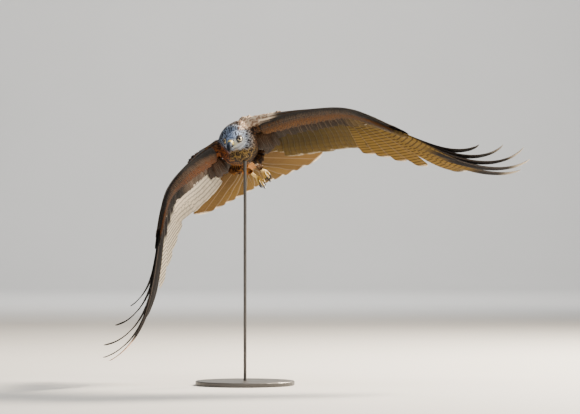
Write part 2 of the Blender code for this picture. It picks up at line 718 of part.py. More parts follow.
def tail_feathers():
    """The vanes of the tail: a fanned row, the middle ones on top, and coverts above and below."""
    shapes = []
    half = RECTRICES // 2
    up = np.array([0.0, 0.0, 1.0])
    for number in range(half):
        share = number / (half - 1)
        length = TAIL_LENGTH_INNER + (TAIL_LENGTH_OUTER - TAIL_LENGTH_INNER) * share**1.3
        angle = math.radians(2.6) + (TAIL_SPREAD - math.radians(2.6)) * share
        way = np.array([math.sin(angle), math.cos(angle), 0.0])
        for side in (1, -1):
            height = TAIL_STACK * (half - 0.5 - 2 * number - (side < 0)) / 2
            root = np.array([0.003 + 0.011 * share, TAIL_ROOT_Y, height])
            shape = vane(root, way, up, length, (0.021, 0.027), BROAD_VANE, camber=0.0)
            shapes.append(sided(shape, side))
    for surface in (1, -1):
        for number in range(TAIL_COVERTS):
            share = number / (TAIL_COVERTS - 1)
            angle = math.radians(3.0 + 19.0 * share)
            way = np.array([math.sin(angle), math.cos(angle), 0.0])
            root = np.array([0.004 + 0.012 * share, TAIL_ROOT_Y, 0.0])
            length = 0.115 - 0.022 * share
            rise = surface * (0.0128 - 0.0022 * share)
            for side in (1, -1):
                lift = (surface * 0.004, rise + 0.0012 * side)
                shapes.append(sided(vane(root, way, up, length, (0.015, 0.015), SHORT_VANE, 0.0, 0.0, lift), side))
    return shapes


def sided(shape, side):
    """The shape of the left side, mirrored where side is -1."""
    points, faces = shape
    if side > 0:
        return points, faces
    return points * np.array([-1.0, 1.0, 1.0]), np.asarray(faces)[:, ::-1]


def build_tail(finish, collection):
    """The tail's root as a flattened stub with every tail feather rooted in it."""
    start = TORSO_Y[-1] + GAP
    along = np.array([start, start + 0.012, start + 0.026, start + 0.036])
    wide = (0.0235, 0.0235, 0.0205, 0.014)
    top = (0.0155, 0.0140, 0.0105, 0.0075)
    turn = np.linspace(0, 2 * math.pi, 20, endpoint=False)
    rings = [[(w * math.cos(a), y, t * math.sin(a)) for a in turn] for y, w, t in zip(along, wide, top)]
    body = mesh_object("tail", loft(np.array(rings)), finish, collection)
    combine(body, tail_feathers(), "UNION")
    roll = Matrix.Rotation(TAIL_ROLL, 4, "Y")
    body.data.transform(roll)
    return body


def build_leg(name, materials, collection):
    """A feathered thigh, a bare tarsus, the foot with its toes, and four claws."""
    hip, hock, foot = (np.array(point[name]) for point in (HIPS, HOCKS, FEET))
    side = 1 if name == "left" else -1
    thigh = mesh_object(f"thigh_{name}", thigh_shape(name, 0.0), materials["plumage_rufous"], collection)
    thigh_way = unit(hock - hip)
    knuckle = hock + thigh_way * 0.014
    way = unit(foot - knuckle)
    start = hock + thigh_way * GAP
    end = foot - way * 0.0045
    places = np.linspace(0.1, 0.9, 5)[:, None]
    middle = (1 - places) ** 2 * start + 2 * places * (1 - places) * knuckle + places**2 * end
    line = np.concatenate([[start], [start + thigh_way * 0.001], middle, [end - way * 0.001], [end]])
    radii = TARSUS_RADIUS * np.array([1.35, 1.35, 1.25, 1.0, 0.92, 0.92, 0.98, 1.1, 1.1])
    tarsus = mesh_object(f"tarsus_{name}", tube(line, radii, 12), materials["bare_yellow"], collection)
    down = unit(np.array([0.0, -0.35, -1.0]) - way * np.dot(way, (0.0, -0.35, -1.0)))
    across = np.cross(way, down) * side
    pad_start = foot - way * (0.0045 - GAP)
    pad_line = pad_start + way * np.linspace(0, 0.011, 5)[:, None]
    pad = tube(pad_line, (0.0046, 0.0056, 0.0058, 0.0050, 0.0030), 12)
    pieces = []
    claws = []
    for toe, (spread, length) in TOES.items():
        turn = math.radians(spread)
        ahead = unit(math.cos(turn) * way + math.sin(turn) * across)
        line = arc_path(foot, ahead, down, length, math.radians(95), 8)
        radii = np.linspace(TOE_RADIUS, TOE_RADIUS * 0.66, len(line))
        pieces.append(tube(line, radii, 6, reference=np.cross(ahead, down)))
        claws.append((toe, line, down, ahead, math.radians(95)))
    behind = unit(-0.4 * way + 0.9 * down)
    inward = unit(way - behind * np.dot(way, behind))
    line = arc_path(foot + 0.002 * down + 0.002 * way, behind, inward, HALLUX_LENGTH, math.radians(20), 6)
    radii = np.linspace(TOE_RADIUS, TOE_RADIUS * 0.7, len(line))
    pieces.append(tube(line, radii, 7, reference=np.cross(behind, inward)))
    claws.append(("hallux", line, inward, behind, math.radians(20)))
    body = mesh_object(f"foot_{name}", pad, materials["bare_yellow"], collection)
    combine(body, pieces, "UNION")
    nodes = [thigh, tarsus, body]
    for toe, line, towards, ahead, bent in claws:
        inward = unit(towards - ahead * np.dot(ahead, towards))
        tip_way = unit(line[-1] - line[-2])
        bend_way = unit(np.cos(bent) * inward - np.sin(bent) * ahead)
        bend_way = unit(bend_way - tip_way * np.dot(tip_way, bend_way))
        claw_line = arc_path(line[-1] + tip_way * GAP, tip_way, bend_way, CLAW_LENGTHS[toe], math.radians(85), 7)
        radii = 0.0024 * (1 - np.linspace(0, 1, 7)) ** 0.75 + 0.0003
        nodes.append(mesh_object(f"claw_{toe}_{name}", tube(claw_line, radii, 8, np.cross(tip_way, bend_way)),
                                 materials["claw_horn"], collection))
    return nodes


def build_stand(finish, collection):
    """A heavy round base and the rod that carries the bird."""
    base = mesh_object("stand_base", cylinder(BASE_RADIUS, 0.0, BASE_HEIGHT, 40), finish, collection)
    rounding = base.modifiers.new("rounded rim", "BEVEL")
    rounding.width = BASE_ROUNDING
    rounding.segments = 1
    rounding.limit_method = "ANGLE"
    rod = cylinder(ROD_RADIUS, BASE_HEIGHT + GAP, ROD_TOP, ROD_SIDES)
    rod = mesh_object("stand_rod", rod, finish, collection)
    return [base, rod]


def main():
    """Builds every node and places the bird on its stand."""
    clear_scene()
    collection = bpy.data.collections.new("red_kite")
    bpy.context.scene.collection.children.link(collection)
    materials = make_materials()
    pose = pose_matrix()
    nodes = [build_torso(materials["plumage_rufous"], collection, pose)]
    nodes.append(build_neck(materials["plumage_grey"], collection))
    nodes.append(build_head(materials["plumage_grey"], collection))
    nodes += build_bill(materials, collection)
    nodes += build_eyes(materials["eye_amber"], collection)
    nodes.append(build_wing("wing_left", 1, materials["plumage_wing"], collection))
    nodes.append(build_wing("wing_right", -1, materials["plumage_wing"], collection))
    nodes.append(build_tail(materials["plumage_tail"], collection))
    for name in ("left", "right"):
        nodes += build_leg(name, materials, collection)
    bird = bpy.data.objects.new("bird_pose", None)
    collection.objects.link(bird)
    bird.matrix_world = pose
    for node in nodes:
        node.parent = bird
    build_stand(materials["stand_steel"], collection)


main()
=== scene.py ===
"""Looks of the red kite display model: plumage, eyes, horn, bare skin, stand and studio.

Metres, +Z up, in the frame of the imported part. The bird is worked out in its own frame (x to
its left, y towards its tail, z towards its back) and then turned into the pose it has on its
stand, as the solids are.
"""

import logging
import math
from dataclasses import dataclass, field
from enum import Enum

import bpy
import numpy as np
from mathutils import Matrix, Vector
from numpy.typing import NDArray


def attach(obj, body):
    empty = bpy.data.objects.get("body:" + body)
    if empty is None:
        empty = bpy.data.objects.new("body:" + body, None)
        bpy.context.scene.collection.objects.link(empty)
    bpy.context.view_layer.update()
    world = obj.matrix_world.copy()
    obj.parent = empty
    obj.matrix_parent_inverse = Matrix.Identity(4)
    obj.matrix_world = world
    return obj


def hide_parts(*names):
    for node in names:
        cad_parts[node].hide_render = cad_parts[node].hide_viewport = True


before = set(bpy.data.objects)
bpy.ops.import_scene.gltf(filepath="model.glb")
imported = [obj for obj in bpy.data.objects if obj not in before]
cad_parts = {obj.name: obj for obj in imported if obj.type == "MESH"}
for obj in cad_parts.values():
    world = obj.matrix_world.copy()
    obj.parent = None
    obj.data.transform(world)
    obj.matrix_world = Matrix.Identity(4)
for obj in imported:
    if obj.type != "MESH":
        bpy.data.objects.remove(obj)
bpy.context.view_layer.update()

Array = NDArray[np.float64]
Faces = NDArray[np.int64]
Socket = bpy.types.NodeSocket
log = logging.getLogger("red_kite")

UPWARDS = np.array([0.0, 0.0, 1.0])
CLOSED = 1e-4  # share of a tube's radius that its closed ends keep


class Side(Enum):
    """Which side of the bird a piece is on; the value mirrors x."""

    LEFT = 1
    RIGHT = -1

    @property
    def word(self) -> str:
        """The side's name as the nodes spell it."""
        return self.name.lower()


def unit(vector: Array) -> Array:
    """Each row at length one: the row over its own length."""
    vector = np.asarray(vector, float)
    return vector / np.maximum(np.linalg.norm(vector, axis=-1, keepdims=True), 1e-12)


def smooth(low: float, high: float, value: Array) -> Array:
    """Goes from 0 at low to 1 at high as 3t^2 - 2t^3."""
    t = np.clip((np.asarray(value, float) - low) / (high - low), 0, 1)
    return t * t * (3 - 2 * t)


def blend(stations: tuple, values: tuple, at: Array) -> Array:
    """A cubic Hermite curve through the values at the stations.

    Args:
        stations: Rising places of the values.
        values: One number or one row of numbers for each station.
        at: Places to read.

    Returns:
        The curve at each place, held at its ends beyond them.
    """
    stations = np.asarray(stations, float)
    values = np.asarray(values, float)
    slopes = np.gradient(values, stations, axis=0)
    at = np.clip(np.asarray(at, float), stations[0], stations[-1])
    left = np.clip(np.searchsorted(stations, at, side="right") - 1, 0, len(stations) - 2)
    width = stations[left + 1] - stations[left]
    u = (at - stations[left]) / width
    if values.ndim > 1:
        u = u[..., None]
        width = width[..., None]
    start = (1 + 2 * u) * (1 - u) ** 2 * values[left] + u * (1 - u) ** 2 * width * slopes[left]
    end = u**2 * (3 - 2 * u) * values[left + 1] + u**2 * (u - 1) * width * slopes[left + 1]
    return start + end


def circle(sides: int) -> Array:
    """Angles of a ring's corners, evenly round a full turn."""
    return np.linspace(0, 2 * math.pi, sides, endpoint=False)


@dataclass(frozen=True)
class Pose:
    """Where the bird's own frame stands in the world."""

    bank: float = math.radians(27.4)
    pitch: float = math.radians(16.5)
    centre: tuple[float, float, float] = (-0.020, 0.035, 0.655)

    def matrix(self) -> Array:
        """Banks about the long axis after pitching about the side axis, then moves."""
        turn = Matrix.Rotation(-self.bank, 4, "Y") @ Matrix.Rotation(-self.pitch, 4, "X")
        return np.array(Matrix.Translation(self.centre) @ turn)

    def place(self, points: Array) -> Array:
        """Bird-frame points in the world."""
        matrix = self.matrix()
        return points @ matrix[:3, :3].T + matrix[:3, 3]


POSE = Pose()


@dataclass
class Piece:
    """A mesh under way, kept as arrays until it is written."""

    points: Array
    faces: Faces
    layers: dict[str, Array] = field(default_factory=dict)
    uvs: dict[str, Array] = field(default_factory=dict)

    def joined(self, others: list["Piece"]) -> "Piece":
        """This piece and the others as one, with the layers and maps they share."""
        every = [self, *others]
        starts = np.cumsum([0] + [len(one.points) for one in every[:-1]])
        return Piece(
            np.concatenate([one.points for one in every]),
            np.concatenate([one.faces + start for one, start in zip(every, starts)]),
            {key: np.concatenate([one.layers[key] for one in every]) for key in self.layers},
            {key: np.concatenate([one.uvs[key] for one in every]) for key in self.uvs},
        )

    def outward(self) -> "Piece":
        """The same piece with its faces turned outwards, judged by the volume they enclose."""
        corners = self.points[self.faces] - self.points.mean(axis=0)
        first, second, third, fourth = np.moveaxis(corners, 1, 0)
        if np.sum(first * (np.cross(second, third) + np.cross(third, fourth))) < 0:
            self.faces = self.faces[:, ::-1].copy()
        return self


def write_piece(name: str, piece: Piece, finish: bpy.types.Material) -> bpy.types.Object:
    """Makes a mesh object of a piece.

    Args:
        name: The object's name.
        piece: Points in the world's frame, quads, and layers and maps per vertex.
        finish: Its material.

    Returns:
        The object, riding on the body root.
    """
    mesh = bpy.data.meshes.new(name)
    sides = piece.faces.shape[1]
    mesh.vertices.add(len(piece.points))
    mesh.vertices.foreach_set("co", piece.points.astype(np.float32).ravel())
    mesh.loops.add(piece.faces.size)
    mesh.loops.foreach_set("vertex_index", piece.faces.astype(np.int32).ravel())
    mesh.polygons.add(len(piece.faces))
    mesh.polygons.foreach_set("loop_start", np.arange(0, piece.faces.size, sides, dtype=np.int32))
    for key, value in piece.layers.items():
        if value.ndim == 1:
            layer = mesh.attributes.new(key, "FLOAT", "POINT")
            layer.data.foreach_set("value", value.astype(np.float32))
        else:
            layer = mesh.attributes.new(key, "FLOAT_COLOR", "POINT")
            colour = np.concatenate([value, np.ones((len(value), 1))], axis=1)
            layer.data.foreach_set("color", colour.astype(np.float32).ravel())
    for key, value in piece.uvs.items():
        layer = mesh.uv_layers.new(name=key)
        layer.data.foreach_set("uv", value[piece.faces.ravel()].astype(np.float32).ravel())
    mesh.update()
    mesh.validate()
    mesh.shade_smooth()
    mesh.materials.append(finish)
    made = bpy.data.objects.new(name, mesh)
    bpy.context.scene.collection.objects.link(made)
    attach(made, "root")
    log.info("%s: %d points, %d faces", name, len(piece.points), len(piece.faces))
    return made


def grid_faces(rows: int, columns: int, closed: bool = False) -> Faces:
    """Quads over a grid of points stored row by row, joined round its columns if closed."""
    row, column = np.meshgrid(np.arange(rows - 1), np.arange(columns - 1 + closed), indexing="ij")
    here, after = row * columns + column, row * columns + (column + 1) % columns
    return np.stack([here, after, after + columns, here + columns], axis=-1).reshape(-1, 4)


def tube_piece(path: Array, radii: Array, sides: int, reference: Array = UPWARDS) -> Piece:
    """A round tube along a path, closed by drawing each end ring to its centre.

    Args:
        path: Points of the middle line.
        radii: Radius at each point.
        sides: Corners of each ring.
        reference: A vector that the rings' sideways axis stays square to.

    Returns:
        The tube as quads, its last ring of no size.
    """
    path = np.concatenate([path[:1], path, path[-1:]])
    radii = np.concatenate([radii[:1] * CLOSED, radii, radii[-1:] * CLOSED])[:, None, None]
    way = unit(np.gradient(path, axis=0))
    way[0], way[-1] = way[1], way[-2]
    side = unit(np.cross(way, reference))
    up = np.cross(side, way)
    turn = circle(sides)
    across = radii * np.cos(turn)[None, :, None] * side[:, None, :]
    rise = radii * np.sin(turn)[None, :, None] * up[:, None, :]
    points = (path[:, None, :] + across + rise).reshape(-1, 3)
    return Piece(points, grid_faces(len(path), sides, closed=True)).outward()


class Node:
    """A short way to add and join shader nodes in one material."""

    def __init__(self, name: str) -> None:
        """Starts an empty material with an output."""
        self.material = bpy.data.materials.new(name)
        self.material.use_nodes = True
        self.tree = self.material.node_tree
        self.tree.nodes.clear()
        self.output = self.tree.nodes.new("ShaderNodeOutputMaterial")

    def add(self, kind: str, inputs: dict | None = None, **settings: object) -> bpy.types.Node:
        """Adds a node.

        Args:
            kind: The node's type without its ShaderNode prefix.
            inputs: Value or output socket for each input, by name or number.
            **settings: The node's own properties.

        Returns:
            The node.
        """
        node = self.tree.nodes.new("ShaderNode" + kind)
        for key, value in settings.items():
            setattr(node, key, value)
        for key, value in (inputs or {}).items():
            if isinstance(value, Socket):
                self.tree.links.new(value, node.inputs[key])
            else:
                node.inputs[key].default_value = value
        return node

    def attribute(self, name: str, part: str = "Fac") -> Socket:
        """A mesh attribute's number or colour."""
        return self.add("Attribute", attribute_name=name).outputs[part]

    def maths(self, operation: str, *values: object) -> Socket:
        """One Math node."""
        return self.add("Math", dict(enumerate(values)), operation=operation).outputs[0]

    def ramp(self, value: object, low: float, high: float, start: float = 0.0, end: float = 1.0) -> Socket:
        """A smooth step from start at low to end at high."""
        inputs = {"Value": value, "From Min": low, "From Max": high, "To Min": start, "To Max": end}
        return self.add("MapRange", inputs, interpolation_type="SMOOTHSTEP").outputs["Result"]

    def mix(self, share: object, first: object, second: object) -> Socket:
        """Mixes two colours, each a socket or red, green and blue."""
        first, second = [(*value, 1.0) if isinstance(value, tuple) else value for value in (first, second)]
        node = self.add("Mix", {0: share, 6: first, 7: second}, data_type="RGBA", clamp_factor=True)
        return node.outputs[2]

    def noise(self, scale: float, detail: float = 3.0) -> Socket:
        """Noise on Object coordinates."""
        where = self.add("TexCoord").outputs["Object"]
        return self.add("TexNoise", {"Vector": where, "Scale": scale, "Detail": detail}).outputs["Fac"]

    def bump(self, height: Socket, strength: float, distance: float) -> Socket:
        """A bumped normal."""
        inputs = {"Height": height, "Strength": strength, "Distance": distance}
        return self.add("Bump", inputs).outputs["Normal"]

    def finish(self, shader: Socket) -> bpy.types.Material:
        """Joins the last shader to the output and returns the material."""
        self.tree.links.new(shader, self.output.inputs["Surface"])
        return self.material


@dataclass(frozen=True)
class PlumageFinish:
    """Feathers: a colour with a dark shaft streak, bars, a pale edge, barbs and light through them."""

    name: str
    translucent: float = 0.56
    roughness: float = 0.62
    specular: float = 0.03
    edge_tint: tuple = (0.86, 0.76, 0.62)
    shaft_tint: tuple = (0.30, 0.20, 0.12)
    barb_relief: float = 0.0002

    def make(self) -> bpy.types.Material:
        """Reads the layers tint, dark, streak, bars, rim and glow, and the map vane (along, across).

        Returns:
            The material.
        """
        n = Node(self.name)
        place = n.add("SeparateXYZ", {0: n.add("UVMap", uv_map="vane").outputs[0]})
        along, across = place.outputs[0], place.outputs[1]
        beside = n.maths("ABSOLUTE", across)
        ragged = n.noise(420.0, 3.0)
        ragged = n.maths("MULTIPLY_ADD", ragged, 0.30, -0.15)
        wide = n.maths("MULTIPLY_ADD", n.ramp(along, 0.30, 0.95), 0.30, 0.16)
        streak = n.maths("SUBTRACT", wide, n.maths("ADD", beside, ragged))
        streak = n.maths("MULTIPLY", n.ramp(streak, -0.05, 0.10), n.attribute("streak"))
        streak = n.maths("MULTIPLY", streak, n.ramp(along, 0.10, 0.45))
        wave = n.maths("MULTIPLY_ADD", along, n.attribute("barcount"), n.maths("MULTIPLY", beside, 1.1))
        wave = n.maths("ADD", wave, n.maths("MULTIPLY", ragged, 2.2))
        bars = n.ramp(n.maths("SINE", wave), 0.25, 0.80)
        bars = n.maths("MULTIPLY", bars, n.attribute("bars"))
        ink = n.maths("MAXIMUM", streak, bars)
        side_edge = n.maths("MULTIPLY", n.ramp(beside, 0.90, 1.0), 0.15)
        frayed = n.maths("MULTIPLY_ADD", ragged, 0.4, along)
        edge = n.maths("MAXIMUM", n.ramp(frayed, 0.955, 1.0), side_edge)
        edge = n.maths("MULTIPLY", edge, n.attribute("rim"))
        slant = n.maths("SUBTRACT", along, n.maths("MULTIPLY", beside, 0.16))
        barb = n.maths("SINE", n.maths("MULTIPLY", slant, n.attribute("barbs")))
        mottled = n.noise(75.0, 4.0)
        colour = n.mix(ink, n.attribute("tint", "Color"), n.attribute("dark", "Color"))
        colour = n.mix(edge, colour, self.edge_tint)
        shade = n.maths("MULTIPLY_ADD", mottled, 0.36, 0.80)
        shade = n.maths("MULTIPLY_ADD", barb, 0.035, shade)
        shaft = n.ramp(beside, 0.015, 0.06, 1.0, 0.0)
        shaft = n.maths("MULTIPLY", shaft, n.attribute("shaft"))
        colour = n.mix(shaft, colour, self.shaft_tint)
        tone = n.add("HueSaturation", {"Color": colour, "Value": shade}).outputs[0]
        lines = n.maths("MULTIPLY_ADD", mottled, 0.5, barb)
        normal = n.bump(lines, 0.25, self.barb_relief)
        inputs = {"Base Color": tone, "Roughness": self.roughness, "Normal": normal}
        skin = n.add("BsdfPrincipled", inputs)
        skin.inputs["Specular IOR Level"].default_value = self.specular
        through = n.add("BsdfTranslucent", {"Color": tone, "Normal": normal})
        share = n.maths("MULTIPLY", n.attribute("glow"), self.translucent)
        both = n.add("MixShader", {0: share, 1: skin.outputs[0], 2: through.outputs[0]})
        return n.finish(both.outputs[0])


@dataclass(frozen=True)
class Outline:
    """Half-width of a vane along its length, as shares of its full web, on each side of the shaft."""

    along: tuple
    lead: tuple
    trail: tuple

    def widths(self, u: Array) -> tuple[Array, Array]:
        """Both shares at u, by Hermite curves through the stations."""
        return blend(self.along, self.lead, u), blend(self.along, self.trail, u)


LONG = Outline((0.0, 0.07, 0.18, 0.42, 0.62, 0.88, 0.97, 1.0),
               (0.10, 0.14, 0.70, 1.0, 1.04, 1.0, 0.66, 0.16),
               (0.10, 0.14, 0.76, 1.0, 1.08, 1.04, 0.74, 0.18))
FINGER = Outline((0.0, 0.07, 0.18, 0.40, 0.50, 0.60, 0.84, 0.96, 0.99, 1.0),
                 (0.10, 0.14, 0.76, 1.0, 0.92, 0.78, 0.72, 0.58, 0.40, 0.16),
                 (0.10, 0.14, 0.78, 1.0, 0.96, 0.82, 0.72, 0.58, 0.40, 0.16))
BROAD = Outline((0.0, 0.08, 0.26, 0.60, 0.88, 0.97, 1.0),
                (0.12, 0.18, 0.86, 1.0, 1.0, 0.78, 0.22), (0.12, 0.18, 0.86, 1.0, 1.04, 0.84, 0.24))
BODY = Outline((0.0, 0.25, 0.60, 0.88, 1.0), (0.30, 0.80, 1.0, 0.74, 0.12), (0.30, 0.80, 1.0, 0.74, 0.12))
LANCE = Outline((0.0, 0.25, 0.55, 0.85, 1.0),
                (0.30, 0.90, 0.92, 0.42, 0.04), (0.30, 0.90, 0.92, 0.42, 0.04))
TUFT_PATCH = 0.003  # size of a small feather's patch on the bake map
COLOURS = ("tint", "dark")  # the layers that hold colours


@dataclass
class Vanes:
    """Many blades of one outline, each from its own root along its own way.

    The arrays have one row for each feather. A blade's middle line starts along `along`, and at
    the share u of its length is turned by curl u^3 - camber u out of its plane. Its webs are
    cupped down by cup times their share of the width squared, and the leading web is turned up
    by tilt.
    """

    root: Array
    along: Array
    normal: Array
    length: Array
    lead: Array
    trail: Array
    outline: Outline
    curl: Array | float = 0.0
    camber: Array | float = 0.0
    tilt: float = 0.0
    cup: float = 0.10
    thick: float = 0.0006
    rows: int = 8
    columns: int = 5

    def shares(self) -> Array:
        """Places of the rows along a blade, closer together near its tip."""
        u = np.linspace(0, 1, self.rows)
        return 0.55 * u + 0.45 * (1 - (1 - u) ** 2)

    def surface(self) -> tuple[Array, Array, Array]:
        """Points of every blade's closed skin.

        Returns:
            Points as feathers x rows x ring x 3, the share along of each row, and the place
            across of each ring point, from -1 at the trailing edge to 1 at the leading one.
        """
        count = len(self.root)
        u = self.shares()[None, :]
        along = unit(self.along)
        normal = unit(self.normal - along * np.sum(along * self.normal, axis=1, keepdims=True))
        curl, camber = [np.broadcast_to(np.asarray(value, float), (count,))[:, None]
                        for value in (self.curl, self.camber)]
        rise = curl * u**3 - camber * u
        way = np.cos(rise)[..., None] * along[:, None] + np.sin(rise)[..., None] * normal[:, None]
        middle = unit(0.5 * (way[:, 1:] + way[:, :-1]))
        step = middle * (np.diff(u, axis=1) * self.length[:, None])[..., None]
        moved = np.concatenate([np.zeros((count, 1, 3)), np.cumsum(step, axis=1)], axis=1)
        centre = self.root[:, None] + moved
        across = unit(np.cross(way, np.broadcast_to(normal[:, None], way.shape)))
        facing = np.cross(across, way)
        over = math.cos(self.tilt) * across + math.sin(self.tilt) * facing
        above = math.cos(self.tilt) * facing - math.sin(self.tilt) * across
        lead, trail = self.outline.widths(u[0])
        v = np.linspace(-1, 1, self.columns)
        ring = np.concatenate([v, v[::-1]])
        upper = np.concatenate([np.ones(self.columns), -np.ones(self.columns)])
        lead, trail = self.lead[:, None, None] * lead[:, None], self.trail[:, None, None] * trail[:, None]
        reach = np.where(ring > 0, lead, trail)
        half = self.thick / 2 * (1 - 0.75 * np.abs(ring) ** 2) * upper
        half = half * np.sqrt(np.minimum(1, 1.25 - u[0]))[:, None]
        drop = -self.cup * np.abs(reach) * np.abs(ring)
        points = centre[:, :, None] + (reach * ring)[..., None] * over[:, :, None]
        points = points + (drop + half[None])[..., None] * above[:, :, None]
        return points, u[0], ring

    @staticmethod
    def spread_out(value: Array, shape: tuple, in_colour: bool) -> Array:
        """One layer's values on all points.

        Args:
            value: Values per feather, per feather and row, or per feather, row and ring point.
            shape: Number of feathers, rows with both closing rows, and ring points.
            in_colour: Whether each value is a colour.

        Returns:
            The values point by point.
        """
        axes = value.ndim - in_colour
        if axes >= 2:
            value = np.concatenate([value[:, :1], value, value[:, -1:]], axis=1)
        value = value.reshape(value.shape[:axes] + (1,) * (3 - axes) + value.shape[axes:])
        one = (3,) if in_colour else ()
        return np.broadcast_to(value, shape + one).reshape((-1,) + one)

    def build(self, layers: dict[str, Array], patch: Array, spread: float | tuple = TUFT_PATCH,
              split: bool = False) -> Piece:
        """The blades as one piece.

        Args:
            layers: Per feather, per feather and row, or per feather, row and ring values.
            patch: Each feather's place on the bake map.
            spread: Size of its patch there, or a width and a height.
            split: Whether the two faces of a blade get patches of their own.

        Returns:
            The piece in the bird's frame, with its layers and the maps vane and OFBake.
        """
        points, u, ring = self.surface()
        count, rows, around = points.shape[:3]
        ends = [np.broadcast_to(end.mean(axis=2, keepdims=True), end.shape)
                for end in (points[:, :1], points[:, -1:])]
        points = np.concatenate([ends[0], points, ends[1]], axis=1)
        u = np.concatenate([[0.0], u, [1.0]])
        quads = grid_faces(rows + 2, around, closed=True)
        faces = (quads[None] + (np.arange(count) * (rows + 2) * around)[:, None, None]).reshape(-1, 4)
        shape = (count, rows + 2, around)
        made = {key: self.spread_out(np.asarray(value, float), shape, key in COLOURS)
                for key, value in layers.items()}
        where = np.broadcast_to(np.stack(np.meshgrid(u, ring, indexing="ij"), axis=-1)[None], shape + (2,))
        size = np.broadcast_to(np.asarray(spread, float), (2,))
        bake = np.stack([where[..., 1] * size[0] / 2, (where[..., 0] - 0.5) * size[1]], axis=-1)
        bake = patch[:, None, None] + bake
        if split:
            lower = np.repeat([0.0, 1.0], self.columns)[None, None, :, None]
            bake = bake * np.array([1.0, 0.5]) + lower * np.array([0.0, 0.5])
        maps = {"vane": where.reshape(-1, 2), "OFBake": bake.reshape(-1, 2)}
        return Piece(points.reshape(-1, 3), faces, made, maps)


def mirrored(piece: Piece, side: Side) -> Piece:
    """The piece as it is on this side: x times -1 and the faces turned round for the right."""
    if side is Side.RIGHT:
        piece.points = piece.points * np.array([-1.0, 1.0, 1.0])
        piece.faces = piece.faces[:, ::-1].copy()
    return piece


def colour(*values: float) -> Array:
    """A linear colour as an array."""
    return np.array(values, float)


def mixed(share: Array, first: Array, second: Array) -> Array:
    """first at 0 and second at 1, with the share's axes before the colour's."""
    share = np.asarray(share, float)[..., None]
    return first * (1 - share) + second * share


BLACK = colour(0.009, 0.008, 0.009)
UMBER = colour(0.052, 0.031, 0.019)
BROWN = colour(0.110, 0.066, 0.038)
BUFF = colour(0.42, 0.27, 0.15)
# Pale cream: the underwing's own pale lifted by painted sunlight, and the painted rim light on the tail's
# tips.
SUNLIT_CREAM = colour(0.86, 0.77, 0.63)
# Golden: painted light shining through the feathers of the shaded wing.
BACKLIT_GOLD = colour(0.66, 0.41, 0.10)
# Dark olive: the underwing's own dusky brown deepened into painted shade.
OLIVE_SHADE = colour(0.036, 0.024, 0.005)
GREY = colour(0.47, 0.50, 0.53)
# Painted sunlight: the blazing pale buff that the mantle, shoulders and nearby coverts take where the sun
# falls on them.
SUNLIT_MANTLE = colour(1.0, 0.80, 0.58)
# Painted sunlight: the warm pink of a primary's tip where the sun catches it.
SUNLIT_TIP = colour(0.95, 0.62, 0.45)
SUNLIT_LINE = (0.6946, 0.337)  # height at x = 0 and slope of the lower limit of the painted sunlight on the mantle


def sunlit_share(points: Array) -> Array:
    """Share of the pale mantle's painted sunlight at world points: above a line from the left eye to the
    left shoulder.
    """
    x = points[:, 0]
    above = points[:, 2] - SUNLIT_LINE[0] - SUNLIT_LINE[1] * x
    return smooth(-0.002, 0.007, above) * smooth(-0.022, -0.006, x) * smooth(0.094, 0.066, x)


def layers_of(count: int, **values: object) -> dict[str, Array]:
    """A full set of plumage layers for this many feathers, with plain values for those not given."""
    plain = {"tint": BROWN, "dark": BLACK, "streak": 0.0, "bars": 0.0, "barcount": 60.0, "rim": 0.0,
             "glow": 0.5, "barbs": 260.0, "shaft": 0.0}
    plain.update(values)
    for key, value in plain.items():
        value = np.asarray(value, float)
        own = (3,) if key in COLOURS else ()
        plain[key] = np.broadcast_to(value, (count,) + own) if value.shape == own else value
    return plain


